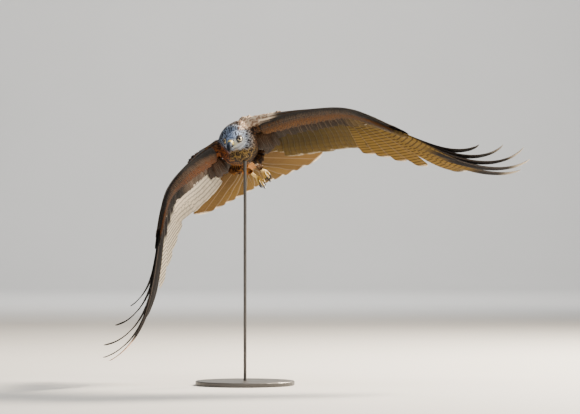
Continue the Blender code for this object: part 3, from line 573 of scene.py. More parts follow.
@dataclass
class WingShape:
    """One wing's leading edge, twist and flesh, worked out as a left wing with x outwards."""

    side: Side
    edge: tuple
    twist: tuple
    fans: tuple
    curls: tuple
    thicknesses: tuple
    flat: float = 0.0503
    twist_at: tuple = (0.0, 0.45, 0.71, 1.0)
    flesh_at: tuple = (0.0, 0.4, 0.71, 1.0)
    chords: tuple = (0.078, 0.082, 0.056, 0.026)
    lengths: tuple = (0.240, 0.252, 0.272, 0.300, 0.372, 0.490, 0.487, 0.453, 0.371, 0.280)

    def __post_init__(self) -> None:
        """Sets the edge's first point on the shoulder and its stations by length."""
        self.line = np.array(self.edge)
        self.line[0, 0] = self.flat
        lengths = np.concatenate([[0], np.cumsum(np.linalg.norm(np.diff(self.line, axis=0), axis=1))])
        self.stations = lengths / lengths[-1]

    def directions(self, at: Array) -> tuple[Array, Array, Array, Array]:
        """Edge point, outward, backward and upward vectors at each share of the length."""
        at = np.atleast_1d(np.asarray(at, float))
        point = blend(self.stations, self.line, at)
        ahead = blend(self.stations, self.line, np.minimum(at + 0.01, 1))
        behind = blend(self.stations, self.line, np.maximum(at - 0.01, 0))
        out = unit(ahead - behind)
        back = unit(np.array([0.0, 1.0, 0.0]) - out * out[:, 1:2])
        up = np.cross(out, back)
        twist = np.radians(np.interp(at, self.twist_at, self.twist))[:, None]
        chord = np.cos(twist) * back - np.sin(twist) * up
        return point, out, chord, np.cross(out, chord)

    def chord(self, at: Array) -> Array:
        """Chord of the flesh."""
        return blend(self.flesh_at, self.chords, at)

    def height(self, at: Array, place: Array) -> Array:
        """Half-thickness of the flesh at a distance back from the edge, and a little past its end.

        Args:
            at: Share of the wing's length.
            place: Distance back from the leading edge.

        Returns:
            h sin(t) (1 - share/4), where the share back is (1 - cos t)/2.
        """
        share = np.clip(place / self.chord(at), 0.0, 1.0)
        full = blend(self.flesh_at, self.thicknesses, at)
        return full * np.sqrt(share * (1 - share)) * (1 - 0.25 * share)

    def rows(self) -> dict[str, Array]:
        """Place, fan, length, webs and curl of the flight feathers, from the body outwards."""
        share = np.linspace(0, 1, 4)
        vary = 1 + 0.016 * np.sin(2.4 * np.arange(13))
        tertials = np.stack([0.06 + 0.15 * share, 0 * share, (0.150 + 0.05 * share) * vary[:4],
                             0.020 + 0 * share, 0.018 + 0 * share, 0 * share], axis=1)
        share = np.linspace(0, 1, 13)
        secondaries = np.stack([0.245 + 0.445 * share, -2 + 13 * share, 0.215 * (1 - 0.06 * share) * vary,
                                0.017 + 0 * share, 0.026 + 0 * share, 0 * share], axis=1)
        share = np.linspace(0, 1, 10)
        primaries = np.stack([0.725 + 0.262 * share, np.array(self.fans), np.array(self.lengths),
                              0.016 - 0.004 * share, 0.027 - 0.003 * share, np.radians(self.curls)], axis=1)
        return {"tertials": tertials, "secondaries": secondaries, "primaries": primaries}

    def fan_at(self, at: Array) -> Array:
        """Fan angle of the feathers, in degrees, at a share of the length."""
        every = np.concatenate(list(self.rows().values()))
        return np.interp(at, every[:, 0], every[:, 1])

    def ways(self, at: Array, fan: Array) -> tuple[Array, Array, Array, Array]:
        """Edge point, feather direction in the wing's plane, chord and up for each place and fan."""
        point, out, chord, up = self.directions(at)
        angle = np.radians(fan) + np.arcsin(out[:, 1])
        along = np.cos(angle)[:, None] * chord + np.sin(angle)[:, None] * out
        return point, along, chord, up


TURN = 6.28  # radians of one bar
GROWN = 0.996  # length of a flight feather as a share of its solid's


@dataclass(frozen=True)
class FlightLook:
    """Outline, section and markings of one group of flight feathers."""

    outline: Outline
    bar: float
    rim: float
    shaft: float
    cup: float = 0.08
    thick: float = 0.0010


FLIGHT_LOOKS = {"tertials": FlightLook(BROAD, 0.022, 0.32, 0.15),
                "secondaries": FlightLook(BROAD, 0.022, 0.32, 0.15),
                "primaries": FlightLook(LONG, 0.014, 0.75, 0.35),
                "fingers": FlightLook(FINGER, 0.014, 0.10, 0.35, cup=0.16, thick=0.0021)}


def two_faced(upper: Array, lower: Array, columns: int = 9) -> Array:
    """Tints (feathers x rows x 3) spread over a blade's ring, its upper face first."""
    faces = np.repeat([1.0, 0.0], columns)[None, None, :, None]
    return upper[:, :, None] * faces + lower[:, :, None] * (1 - faces)


# Where a primary turns black, as a share of its length, from the innermost to the outermost.
LIT_LIMIT = ((0.0, 0.34, 0.45, 1.0), (1.35, 1.20, 0.25, 0.05))
DUSKY_LIMIT = ((0.0, 0.35, 0.5, 0.62, 0.80, 1.0), (1.25, 1.10, 0.80, 0.52, 0.34, 0.26))
BARBS = 5200  # radians of barb pattern for each metre of a feather


@dataclass
class Wing:
    """A wing's feathers: flights, tiers of coverts above and below, and the alula."""

    shape: WingShape
    finish: bpy.types.Material
    seed: int = 5

    def inner_colours(self, number: Array, kind: str, u: Array) -> tuple[Array, Array, Array, Array]:
        """Tints, bars and glow of tertials and secondaries: pale cream on the right wing, painted sunlight,
        and dark olive on the left, painted shade, golden outwards with painted light through the feathers.

        Args:
            number: The feathers' numbers in their row.
            kind: Name of the row.
            u: Shares along a feather.

        Returns:
            Lower tint and upper tint (feathers x rows x 3), bars and glow (feathers x rows).
        """
        grid = np.ones((len(number), len(u)))
        outer = smooth(0.55, 1.0, u) * grid
        upper = mixed(smooth(0.2, 0.9, u) * grid, BROWN, UMBER)
        if self.shape.side is Side.RIGHT:
            root_end = 0.08 + 0.30 * number[:, None] / 12
            lower = mixed(outer, SUNLIT_CREAM, mixed(0.18, SUNLIT_CREAM, UMBER))
            lower = mixed(smooth(0.05, -0.05, u - root_end), lower, BLACK * 2)
            return lower, upper, 0.50 * grid, 0.80 * grid
        lower = mixed(outer, OLIVE_SHADE, mixed(0.07, OLIVE_SHADE, BACKLIT_GOLD))
        if kind == "secondaries":
            # Painted light through the feathers: the outer secondaries of the shaded wing turn golden.
            golden = (0.55 * smooth(3.0, 12.0, number))[:, None] * smooth(0.15, 0.6, u)
            lower = mixed(golden, lower, BACKLIT_GOLD * 0.14)
        return lower, upper, 0.28 * grid, 0.05 * grid

    def primary_colours(self, number: Array, u: Array) -> tuple[Array, Array, Array, Array]:
        """Tints, bars and glow of the primaries: a window that is pale cream on the right wing, painted
        sunlight, and golden over dark olive on the left, painted light through the feathers and painted
        shade, with black beyond it.

        Args:
            number: The feathers' numbers in their row.
            u: Shares along a feather.

        Returns:
            Lower tint and upper tint (feathers x rows x 3), bars and glow (feathers x rows).
        """
        lit = self.shape.side is Side.RIGHT
        share = number[:, None] / 9.0
        inky = smooth(-0.08, 0.10, u - blend(*(LIT_LIMIT if lit else DUSKY_LIMIT), share))
        if lit:
            inky = np.maximum(inky, smooth(0.05, -0.05, u - 0.42 - 0.10 * share))
            lower = mixed(inky, SUNLIT_CREAM, BLACK)
        else:
            # Painted shade: the shaded wing's window darkens to olive towards the root.
            shade = smooth(0.60, 0.25, u) * (1 - 0.8 * smooth(0.0, 0.5, share))
            lower = mixed(0.70 * shade * (1 - inky), mixed(inky, BACKLIT_GOLD * 0.36, BLACK), OLIVE_SHADE * 1.3)
        tips = smooth(0.86, 0.97, u) * smooth(0.45, 0.62, share) * (1 - smooth(0.80, 0.95, share))
        lower = mixed(0.75 * tips, lower, colour(0.55, 0.46, 0.34))
        upper = mixed(np.maximum(inky, 0.35), BROWN, BLACK)
        if lit:
            # Painted sunlight: the sun catches the underside of the sixth primary near its tip, painted as
            # a warm pink patch.
            sunlit_tip = smooth(0.80, 0.85, u) * (number == 5)[:, None]
            lower, upper = mixed(sunlit_tip, lower, SUNLIT_TIP), mixed(sunlit_tip, upper, SUNLIT_TIP)
        glow = 0.12 + (0.75 if lit else 0.60) * (1 - inky) * (1 - smooth(0.65, 0.9, share))
        return lower, upper, 0.75 * (1 - inky), glow

    def flights(self) -> Piece:
        """Tertials, secondaries and primaries, in one piece."""
        pieces = []
        total = sum(len(rows) for rows in self.shape.rows().values())
        done = 0
        for kind, rows in self.shape.rows().items():
            point, along, chord, up = self.shape.ways(rows[:, 0], rows[:, 1])
            root = point + chord * (0.55 * self.shape.chord(rows[:, 0]))[:, None]
            groups = ((kind, 0, len(rows)),)
            if kind == "primaries":
                groups = ((kind, 0, 5), ("fingers", 5, 10))
            for group, first, last in groups:
                look = FLIGHT_LOOKS[group]
                part = slice(first, last)
                length, lead, trail, curl = rows[part, 2:].T
                vanes = Vanes(root[part], along[part], up[part], length * GROWN, lead, trail, look.outline,
                              curl=curl, camber=math.radians(6.0), tilt=math.radians(7.0),
                              cup=look.cup, thick=look.thick, rows=30, columns=9)
                number = np.arange(first, last)
                u = vanes.shares()
                lower, upper, bars, glow = (self.primary_colours(number, u) if kind == "primaries"
                                            else self.inner_colours(number, kind, u))
                bars = bars[:, :, None] * np.repeat([0.45, 1.0], 9)[None, None, :]
                patch = np.stack([(done + number - first + 0.5) / total, np.full(len(number), 0.5)], axis=1)
                layers = layers_of(len(number), tint=two_faced(upper, lower), rim=look.rim, glow=glow,
                                   dark=mixed(0.35, BLACK, UMBER), bars=bars, shaft=look.shaft,
                                   barcount=length * TURN / look.bar, barbs=length * BARBS)
                pieces.append(vanes.build(layers, patch, (0.8 / total, 0.96), split=True))
                done += len(number)
        return pieces[0].joined(pieces[1:])

    def covert_tier(self, tier: "Tier", rng: np.random.Generator) -> Piece:
        """One tier: rows of coverts laid on the flesh, each domed from its root to the layer below it.

        Args:
            tier: The tier's sizes and colours.
            rng: The wing's own random numbers.

        Returns:
            The tier as a piece.
        """
        shape = self.shape
        count = tier.number
        below = tier.face < 0
        at = np.linspace(tier.start, tier.end, count) + rng.normal(0, 0.16 / count, count)
        at = np.clip(at, 0.004, 0.99)
        place = tier.place * shape.chord(at) * (1 + rng.normal(0, 0.03, count))
        length = tier.length * (1.10 - 0.28 * at) * (1 + rng.normal(0, 0.05, count))
        fan = shape.fan_at(at) + tier.swing + rng.normal(0, 2.0, count)
        point, along, chord, up = shape.ways(at, fan)
        low = shape.height(at, place)
        back = place + length * np.sum(along * chord, axis=1)
        far = np.maximum(shape.height(at, back), 0.0008) + tier.clear
        slope = np.arctan2(far - low, length)
        bow = math.radians(14.0)
        face = tier.face * up
        start = slope + bow / 2
        way = np.cos(start)[:, None] * along + np.sin(start)[:, None] * face
        root = point + chord * place[:, None] + face * (low - 0.0006)[:, None]
        web = tier.web * (1.1 - 0.3 * at)
        vanes = Vanes(root, way, face, length, web, web, BODY, camber=bow,
                      tilt=math.radians(5.0) * tier.face, cup=0.16, thick=0.0005, rows=tier.rows, columns=5)
        tint = tier.tint[None] * (1 + rng.normal(0, 0.07, (count, 1)))
        # Under coverts are darkened to 0.48 of their tint: painted shade under the wing.
        tint = mixed(smooth(*tier.change, at), tint, tier.outer) * (0.48 if below else 1.0)
        # Painted sunlight: coverts whose middle lies above the sun line in the world take the pale sunlit
        # mantle colour, with warm rufous streaks instead of black ones.
        spot = POSE.place((root + 0.4 * length[:, None] * way) * np.array([shape.side.value, 1.0, 1.0]))
        sunny = sunlit_share(spot)
        tint = mixed(0.9 * sunny, tint, SUNLIT_MANTLE)
        dark = mixed(sunny, np.tile(tier.dark, (count, 1)), colour(0.22, 0.085, 0.04))
        layers = layers_of(count, tint=tint, dark=dark, streak=tier.streak * (1 - 0.4 * sunny),
                           bars=tier.bars, barcount=length * TURN / 0.011, rim=tier.rim,
                           glow=0.02 if below else 0.25, barbs=length * BARBS, shaft=0.3)
        row = 0.5 + tier.face * (0.04 + 0.42 * tier.place)
        return vanes.build(layers, np.stack([0.02 + 0.96 * at, np.full(count, row)], axis=1))

    def alula(self) -> Piece:
        """Three stiff small feathers at the wrist."""
        shape = self.shape
        at = np.array([0.755, 0.745, 0.735])
        length = np.array([0.042, 0.056, 0.070])
        point, along, chord, up = shape.ways(at, np.full(3, 40.0))
        root = point + chord * (0.34 * shape.chord(at))[:, None] + up * 0.0035
        vanes = Vanes(root, along, up, length, np.full(3, 0.008), np.full(3, 0.010), LONG,
                      camber=math.radians(18.0), tilt=math.radians(5.0), rows=14, columns=5)
        layers = layers_of(3, tint=UMBER, rim=0.5, barbs=length * BARBS)
        return vanes.build(layers, np.stack([0.02 + 0.96 * at, np.full(3, 0.5)], axis=1))

    def build(self) -> None:
        """Makes the flights and both sides' coverts, in place of the wing's solid."""
        rng = np.random.default_rng(self.seed)
        word = self.shape.side.word
        lower, upper = [], []
        for tier in tiers(self.shape.side):
            (upper if tier.face > 0 else lower).append(self.covert_tier(tier, rng))
        upper.append(self.alula())
        flights = [self.flights()]
        for name, pieces in (("flights", flights), ("coverts_under", lower), ("coverts_upper", upper)):
            piece = mirrored(pieces[0].joined(pieces[1:]), self.shape.side)
            piece.points = POSE.place(piece.points)
            made = write_piece(f"{name}_{word}", piece, self.finish)
            if name == "flights":
                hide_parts(f"wing_{word}")


@dataclass(frozen=True)
class Tier:
    """One row of coverts: where it is rooted, how many, how long and how it looks."""

    face: int
    place: float
    number: int
    length: float
    web: float
    clear: float
    tint: Array
    dark: Array
    outer: Array
    streak: float = 0.0
    rim: float = 0.0
    bars: float = 0.0
    rows: int = 7
    start: float = 0.10
    end: float = 0.985
    swing: float = 0.0
    change: tuple = (0.62, 0.78)


def tiers(side: Side) -> list[Tier]:
    """Every tier of coverts of a wing, below and above, from the trailing side to the leading edge."""
    lit = side is Side.RIGHT
    # The shaded left wing's hand and deep tones are golden olive and dark umber: painted shade with painted
    # light through the feathers.
    dusk = mixed(0.5, OLIVE_SHADE, UMBER) * 0.75
    hand = mixed(0.55, BACKLIT_GOLD, OLIVE_SHADE) if not lit else BLACK
    deep = UMBER * 0.6 if not lit else mixed(0.5, UMBER, colour(0.30, 0.22, 0.17))
    red = colour(0.165, 0.070, 0.020) if not lit else colour(0.170, 0.062, 0.020)
    ash = mixed(0.35, GREY * 0.22, BROWN * 0.75) * 0.55
    far = ash if not lit else BLACK * 1.5
    step = (0.62, 0.78) if not lit else (0.40, 0.54)
    # The axillaries below the inner wing have tints scaled to about 0.4: painted shade under the wing.
    inner = [
        Tier(-1, 0.62, 16, 0.165, 0.0110, 0.0120, mixed(0.7, red, UMBER) * 0.38, BLACK, UMBER * 0.5, 0.6,
             rows=11, start=0.0, end=0.13, swing=-15.0),
        Tier(-1, 0.66, 12, 0.118, 0.0095, 0.0100, mixed(0.6, red, UMBER) * 0.40, BLACK, UMBER * 0.6, 0.5,
             rows=10, start=0.0, end=0.10),
        Tier(-1, 0.50, 14, 0.100, 0.0085, 0.0240, mixed(0.4, red, UMBER) * 0.36, BLACK, UMBER * 0.6, 0.6,
             rows=9, start=0.0, end=0.09),
    ]
    below = [
        (0.52, 34, 0.100, 0.0150, 0.0020, deep, BLACK, mixed(0.5, hand, BLACK), 0.0, 0.30, 0.35, 10, 0.01),
        (0.44, 36, 0.068, 0.0130, 0.0036, dusk, BLACK, BLACK * 1.6, 0.5, 0.25, 0.0, 9, 0.01),
        (0.38, 44, 0.050, 0.0110, 0.0046, red * 0.8, BLACK, mixed(0.5, red, BLACK), 0.8, 0.10),
        (0.31, 52, 0.042, 0.0090, 0.0044, red, BLACK, mixed(0.4, red, BLACK), 0.75),
        (0.24, 60, 0.034, 0.0080, 0.0040, red * 1.15, BLACK, mixed(0.3, red, BLACK), 0.6),
        (0.18, 66, 0.028, 0.0072, 0.0034, red * 1.1, BLACK, mixed(0.3, red, BLACK), 0.5),
        (0.12, 76, 0.023, 0.0060, 0.0028, mixed(0.5, red, ash), UMBER, far, 0.5),
        (0.07, 84, 0.019, 0.0054, 0.0022, ash, UMBER, far, 0.5, 0.15),
        (0.03, 92, 0.016, 0.0050, 0.0016, ash * 1.25, UMBER, far, 0.4, 0.25),
        (0.004, 100, 0.013, 0.0046, 0.0010, ash * 1.6, UMBER, far, 0.2, 0.45),
    ]
    above = [
        (0.52, 34, 0.096, 0.0150, 0.0020, UMBER, BLACK, BLACK * 1.5, 0.0, 0.25, 0.2, 10),
        (0.44, 36, 0.066, 0.0130, 0.0036, BUFF * 0.8, UMBER, UMBER, 0.7, 0.45, 0.0, 9),
        (0.37, 44, 0.050, 0.0110, 0.0046, BUFF, UMBER, UMBER, 0.8, 0.45),
        (0.30, 52, 0.042, 0.0095, 0.0046, BUFF * 0.9, UMBER, UMBER, 0.8, 0.4),
        (0.23, 60, 0.034, 0.0085, 0.0042, BROWN * 1.5, UMBER, UMBER, 0.7, 0.3),
        (0.17, 66, 0.028, 0.0075, 0.0036, BROWN * 1.3, UMBER, UMBER, 0.6, 0.3),
        (0.11, 76, 0.023, 0.0062, 0.0030, BROWN * 1.3, UMBER, UMBER, 0.6, 0.3),
        (0.06, 84, 0.019, 0.0056, 0.0024, BROWN * 1.6, UMBER, UMBER, 0.5, 0.3),
        (0.025, 92, 0.016, 0.0050, 0.0018, ash * 1.4, UMBER, ash, 0.4, 0.4),
        (0.004, 100, 0.013, 0.0046, 0.0010, ash * 1.8, UMBER, ash, 0.2, 0.5),
    ]
    return (inner + [Tier(-1, *row, change=step) for row in below]
            + [Tier(1, *row, start=0.16) for row in above])


@dataclass
class Tail:
    """The fanned, forked tail with its coverts, in place of the tail's solid."""

    finish: bpy.types.Material
    root_y: float = 0.1423
    inner: float = 0.290
    outer: float = 0.338
    first: float = math.radians(2.6)
    spread: float = math.radians(30.0)
    roll: float = math.radians(2.0)
    stack: float = 0.0009

    def rectrices(self) -> Piece:
        """Six feathers a side: rufous above, golden below, partly painted light through the feathers, with
        fine bars, and pale rims and tips that are painted rim light.
        """
        number = np.arange(6)
        share = number / 5
        length = (self.inner + (self.outer - self.inner) * share**1.3) * GROWN
        angle = self.first + (self.spread - self.first) * share
        pieces = []
        for half in (1.0, -1.0):
            way = np.stack([np.sin(angle) * half, np.cos(angle), 0 * angle], axis=1)
            height = self.stack * (5.5 - 2 * number - (half < 0)) / 2
            root = np.stack([(0.003 + 0.011 * share) * half, np.full(6, self.root_y), height], axis=1)
            lead, trail = 0.021 + 0.014 * share**4, np.full(6, 0.027)
            if half < 0:
                lead, trail = trail, lead
            facing = np.tile([0.0, 0.0, 1.0], (6, 1))
            vanes = Vanes(root, way, facing, length, lead, trail, BROAD, camber=0.0, cup=0.05,
                          tilt=math.radians(7.0) * half, thick=0.0009, rows=34, columns=9)
            u = vanes.shares()
            grid = np.ones((6, len(u)))
            outwards = smooth(0.1, 0.9, u)
            # Golden underside: partly the tail's own colour, partly painted light shining through the
            # feathers.
            gold = mixed(outwards, colour(0.085, 0.046, 0.009), colour(0.165, 0.096, 0.022))
            lower = gold * (1 + 0.16 * np.sin(number * 2.3 + (half > 0)))[:, None, None]
            # Painted rim light: a pale cream tip on the underside of each feather.
            lower = mixed(smooth(0.955, 0.985, u)[None] * grid, lower, SUNLIT_CREAM)
            upper = mixed(outwards * grid, colour(0.50, 0.19, 0.05), colour(0.44, 0.17, 0.05))
            bars = 0.30 + 0.45 * smooth(0.4, 1.0, share)[:, None] + 0.34 * smooth(0.86, 0.95, u)
            patch = np.stack([(number + (0.5 if half > 0 else 6.5)) / 12, np.full(6, 0.5)], axis=1)
            layers = layers_of(6, tint=two_faced(upper, lower), dark=colour(0.09, 0.045, 0.02), bars=bars,
                               barcount=length * TURN / 0.0105, rim=1.0, barbs=length * BARBS, shaft=0.6)
            pieces.append(vanes.build(layers, patch, (0.8 / 12, 0.96), split=True))
        return pieces[0].joined(pieces[1:])

    def coverts(self) -> Piece:
        """Rows of soft coverts above and below the roots of the tail."""
        rng = np.random.default_rng(11)
        pieces = []
        for face in (1, -1):
            for row in range(4):
                count = 21 - 2 * row
                across = np.linspace(-1, 1, count) + rng.normal(0, 0.03, count)
                wide = 0.0215 - 0.0012 * row
                y = 0.128 + 0.0050 * (5 - row) * np.ones(count)
                high = (0.0150 - 0.0008 * row) * np.sqrt(np.maximum(1 - (0.86 * across) ** 2, 0.05))
                root = np.stack([wide * across, y, face * (high - 0.0012)], axis=1)
                angle = np.radians(17.0) * across
                length = (0.116 - 0.011 * row) * (1 - 0.42 * across**2) * (1 + rng.normal(0, 0.05, count))
                fall = np.arctan2(0.0018 + 0.0008 * row - high, length)
                lift = fall + math.radians(2)
                flat = np.cos(lift)
                way = np.stack([np.sin(angle) * flat, np.cos(angle) * flat, face * np.sin(lift)], axis=1)
                facing = np.tile([0.0, 0.0, float(face)], (count, 1))
                web = np.full(count, 0.0064)
                vanes = Vanes(root, way, facing, length, web, web, BODY, camber=math.radians(4), cup=0.10,
                              thick=0.0005, rows=9, columns=5)
                base = colour(0.36, 0.150, 0.034) if face < 0 else colour(0.34, 0.14, 0.045)
                tint = base * (1 + rng.normal(0, 0.08, (count, 1)))
                layers = layers_of(count, tint=tint, streak=0.45, rim=0.20, glow=0.2, barbs=length * BARBS,
                                   shaft=0.3)
                place = np.full(count, 0.5 + face * (0.05 + 0.06 * row))
                pieces.append(vanes.build(layers, np.stack([0.5 + 0.4 * across, place], axis=1)))
        return pieces[0].joined(pieces[1:] + [self.long_coverts()])

    @staticmethod
    def long_coverts() -> Piece:
        """Twelve longer coverts below, six a side, that fan out beyond the others."""
        side = np.repeat([1.0, -1.0], 6)
        share = np.tile(np.linspace(0, 1, 6), 2)
        angle = np.radians(27 + 21 * share) * side
        way = np.stack([np.sin(angle), np.cos(angle), np.full(12, 0.02)], axis=1)
        beside, drop = (0.017 + 0.006 * share) * side, -0.002 * (1 + share)
        root = np.stack([beside, 0.136 - 0.012 * share, drop], axis=1)
        length, web = 0.152 - 0.062 * share, np.full(12, 0.0115)
        vanes = Vanes(root, way, np.tile([0.0, 0.0, -1.0], (12, 1)), length, web, web, BODY,
                      camber=math.radians(5), cup=0.10, thick=0.0006, rows=11, columns=5)
        tint = mixed(share, colour(0.26, 0.105, 0.024), colour(0.08, 0.040, 0.014))
        layers = layers_of(12, tint=tint, streak=0.25, rim=0.15, glow=0.15, barbs=length * BARBS, shaft=0.3)
        return vanes.build(layers, np.stack([0.5 + 0.45 * share * side, np.full(12, 0.30)], axis=1))

    def build(self) -> None:
        """Makes both pieces, rolled about the body's long axis."""
        turn = np.array(Matrix.Rotation(self.roll, 3, "Y"))
        for name, piece in (("rectrices", self.rectrices()), ("coverts_tail", self.coverts())):
            piece.points = POSE.place(piece.points @ turn.T)
            made = write_piece(name, piece, self.finish)
            if name == "rectrices":
                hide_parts("tail")


@dataclass(frozen=True)
class HeadShape:
    """Place, turn and sections of the head, in head coordinates (left, forward, up)."""

    centre: tuple = (-0.0062, -0.152, -0.0336)
    turn: float = math.radians(24.4)
    down: float = math.radians(24.8)
    tilt: float = math.radians(24.5)
    axis: tuple = (-0.036, -0.022, -0.008, 0.004, 0.014, 0.022)
    half_width: tuple = (0.0230, 0.0250, 0.0248, 0.0222, 0.0168, 0.0108)
    top: tuple = (0.0210, 0.0230, 0.0220, 0.0195, 0.0155, 0.0110)
    bottom: tuple = (0.0225, 0.0235, 0.0220, 0.0195, 0.0165, 0.0120)
    eye_radius: float = 0.0085
    eye_side: float = 0.0178
    eye_up: float = 0.0035
    cere_length: float = 0.0085
    bill_length: float = 0.026
    bill_hook: float = 0.0135
    cere_share: float = 0.22

    def rotation(self) -> Array:
        """The head's own axes in the bird's frame, as columns."""
        turn = Matrix.Rotation(-self.turn, 3, "Z") @ Matrix.Rotation(self.down, 3, "X")
        return np.array(turn @ Matrix.Rotation(self.tilt, 3, "Y"))

    def place(self, points: Array) -> Array:
        """Head coordinates in the bird's frame."""
        turned = (np.asarray(points, float) * np.array([1.0, -1.0, 1.0])) @ self.rotation().T
        return turned + np.array(self.centre)

    def local(self, points: Array) -> Array:
        """Bird-frame points in head coordinates."""
        return ((points - np.array(self.centre)) @ self.rotation()) * np.array([1.0, -1.0, 1.0])

    def eye_axes(self, side: Side) -> tuple[Array, Array, Array, Array]:
        """Centre of an eye, its line of sight, and the ways forward and up across its opening."""
        centre = np.array([side.value * self.eye_side, 0.0, self.eye_up])
        sight = unit(np.array([0.84 * side.value, 0.53, 0.04]))
        up = unit(UPWARDS - sight * sight[2])
        return centre, sight, np.cross(up, sight) * side.value, up

    def eye_place(self, points: Array, side: Side) -> Array:
        """Head coordinates as places forward, up and out from the middle of an eye."""
        centre, sight, ahead, up = self.eye_axes(side)
        return (points - centre) @ np.stack([ahead, up, sight], axis=1)

    def skull(self, inset: float, rows: int = 30, sides: int = 48) -> Piece:
        """The skull as a loft of egg-shaped sections, with a ledge of brow over each eye."""
        along = np.linspace(self.axis[0], self.axis[-1], rows)
        turn = circle(sides)
        wide = blend(self.axis, self.half_width, along)[:, None] - inset
        top = blend(self.axis, self.top, along)[:, None] - inset
        bottom = blend(self.axis, self.bottom, along)[:, None] - inset
        x = wide * np.cos(turn)
        z = egg_height(turn, top, bottom)
        y = along[:, None] * np.ones(sides)
        near = np.exp(-(((y - 0.004) / 0.011) ** 2) - ((z - self.eye_up - 0.0075) / 0.0045) ** 2)
        x = x + np.sign(x) * 0.0022 * near
        return ring_piece(self.place(np.stack([x, y, z], axis=-1)))


HEAD = HeadShape()


def egg_height(turn: Array, top: Array, bottom: Array) -> Array:
    """Heights round an egg-shaped section: its top's above and its bottom's below, times the sine."""
    return np.where(np.sin(turn) > 0, top, bottom) * np.sin(turn)


def ring_piece(rings: Array) -> Piece:
    """A tube through rings of points, its two ends drawn to their centres.

    Args:
        rings: rows x sides x 3.

    Returns:
        The tube, facing outwards.
    """
    ends = rings[[0, -1]]
    middles = np.broadcast_to(ends.mean(axis=1, keepdims=True), ends.shape)
    near = 0.35 * ends + 0.65 * middles
    rings = np.concatenate([middles[:1], near[:1], rings, near[1:], middles[1:]])
    points = rings.reshape(-1, 3)
    return Piece(points, grid_faces(rings.shape[0], rings.shape[1], closed=True)).outward()


@dataclass(frozen=True)
class Trunk:
    """Sizes of the torso, neck and thighs."""

    y: tuple = (-0.085, -0.060, -0.020, 0.030, 0.075, 0.110, 0.130)
    half_width: tuple = (0.043, 0.056, 0.062, 0.060, 0.049, 0.034, 0.024)
    top: tuple = (0.038, 0.051, 0.060, 0.055, 0.043, 0.026, 0.016)
    lean: float = 0.30
    bottom: tuple = (0.040, 0.055, 0.062, 0.058, 0.046, 0.029, 0.018)
    neck_rear: float = 0.039
    hips: tuple = ((0.030, 0.036, -0.040), (-0.030, 0.036, -0.040))
    hocks: tuple = ((0.0245, 0.0800, -0.0570), (-0.0090, 0.0820, -0.0550))
    thigh: float = 0.023
    hock: float = 0.007

    def torso(self, inset: float) -> Piece:
        """The egg-shaped trunk."""
        along = np.linspace(self.y[0] + 0.004, self.y[-1] + 0.012, 40)
        turn = circle(64)
        wide = blend(self.y, self.half_width, along)[:, None] - inset
        top = blend(self.y, self.top, along)[:, None] - inset
        bottom = blend(self.y, self.bottom, along)[:, None] - inset
        z = egg_height(turn, top, bottom)
        leaning = self.lean * np.minimum((top + inset) / self.top[2], 1) ** 2
        x = wide * np.cos(turn) + leaning * np.maximum(z, 0)
        return ring_piece(np.stack([x, along[:, None] + 0 * turn, z], axis=-1))

    def neck(self, inset: float) -> Piece:
        """The neck, from inside the torso to inside the head."""
        start = np.array([0.0, self.y[0], -0.0015])
        head = HEAD.place([[0.0, HEAD.axis[0], 0.0], [1.0, HEAD.axis[0], 0.0], [0.0, HEAD.axis[0], 1.0]])
        turn = circle(56)
        place = np.linspace(-0.25, 1.15, 24)[:, None]
        part = np.clip(place, 0, 1)
        left = unit((1 - part) * np.array([1.0, 0.0, 0.0]) + part * (head[1] - head[0]))
        up = (1 - part) * UPWARDS + part * (head[2] - head[0])
        up = unit(up - left * np.sum(left * up, axis=1, keepdims=True))
        centre = (1 - place) * start + place * head[0]
        swell = 1 + 0.16 * np.sin(math.pi * part)
        wide = swell * ((1 - part) * self.neck_rear + part * HEAD.half_width[0]) - inset
        top = swell * ((1 - part) * self.top[0] + part * HEAD.top[0]) - inset
        low = swell * ((1 - part) * self.neck_rear + part * HEAD.bottom[0]) - inset
        height = egg_height(turn, top, low)
        across = (wide * np.cos(turn))[..., None] * left[:, None]
        return ring_piece(centre[:, None] + across + height[..., None] * up[:, None])

    def thighs(self, inset: float) -> list[Piece]:
        """Both thighs as tapering tubes that start inside the torso."""
        made = []
        for hip, hock in zip(self.hips, self.hocks):
            place = np.linspace(0, 1, 20)
            line = np.array(hip) + (np.array(hock) - np.array(hip)) * place[:, None]
            radii = self.hock + (self.thigh - self.hock) * (1 - place**1.3) - inset
            made.append(tube_piece(line, np.maximum(radii, 0.003), 24))
        return made


TRUNK = Trunk()


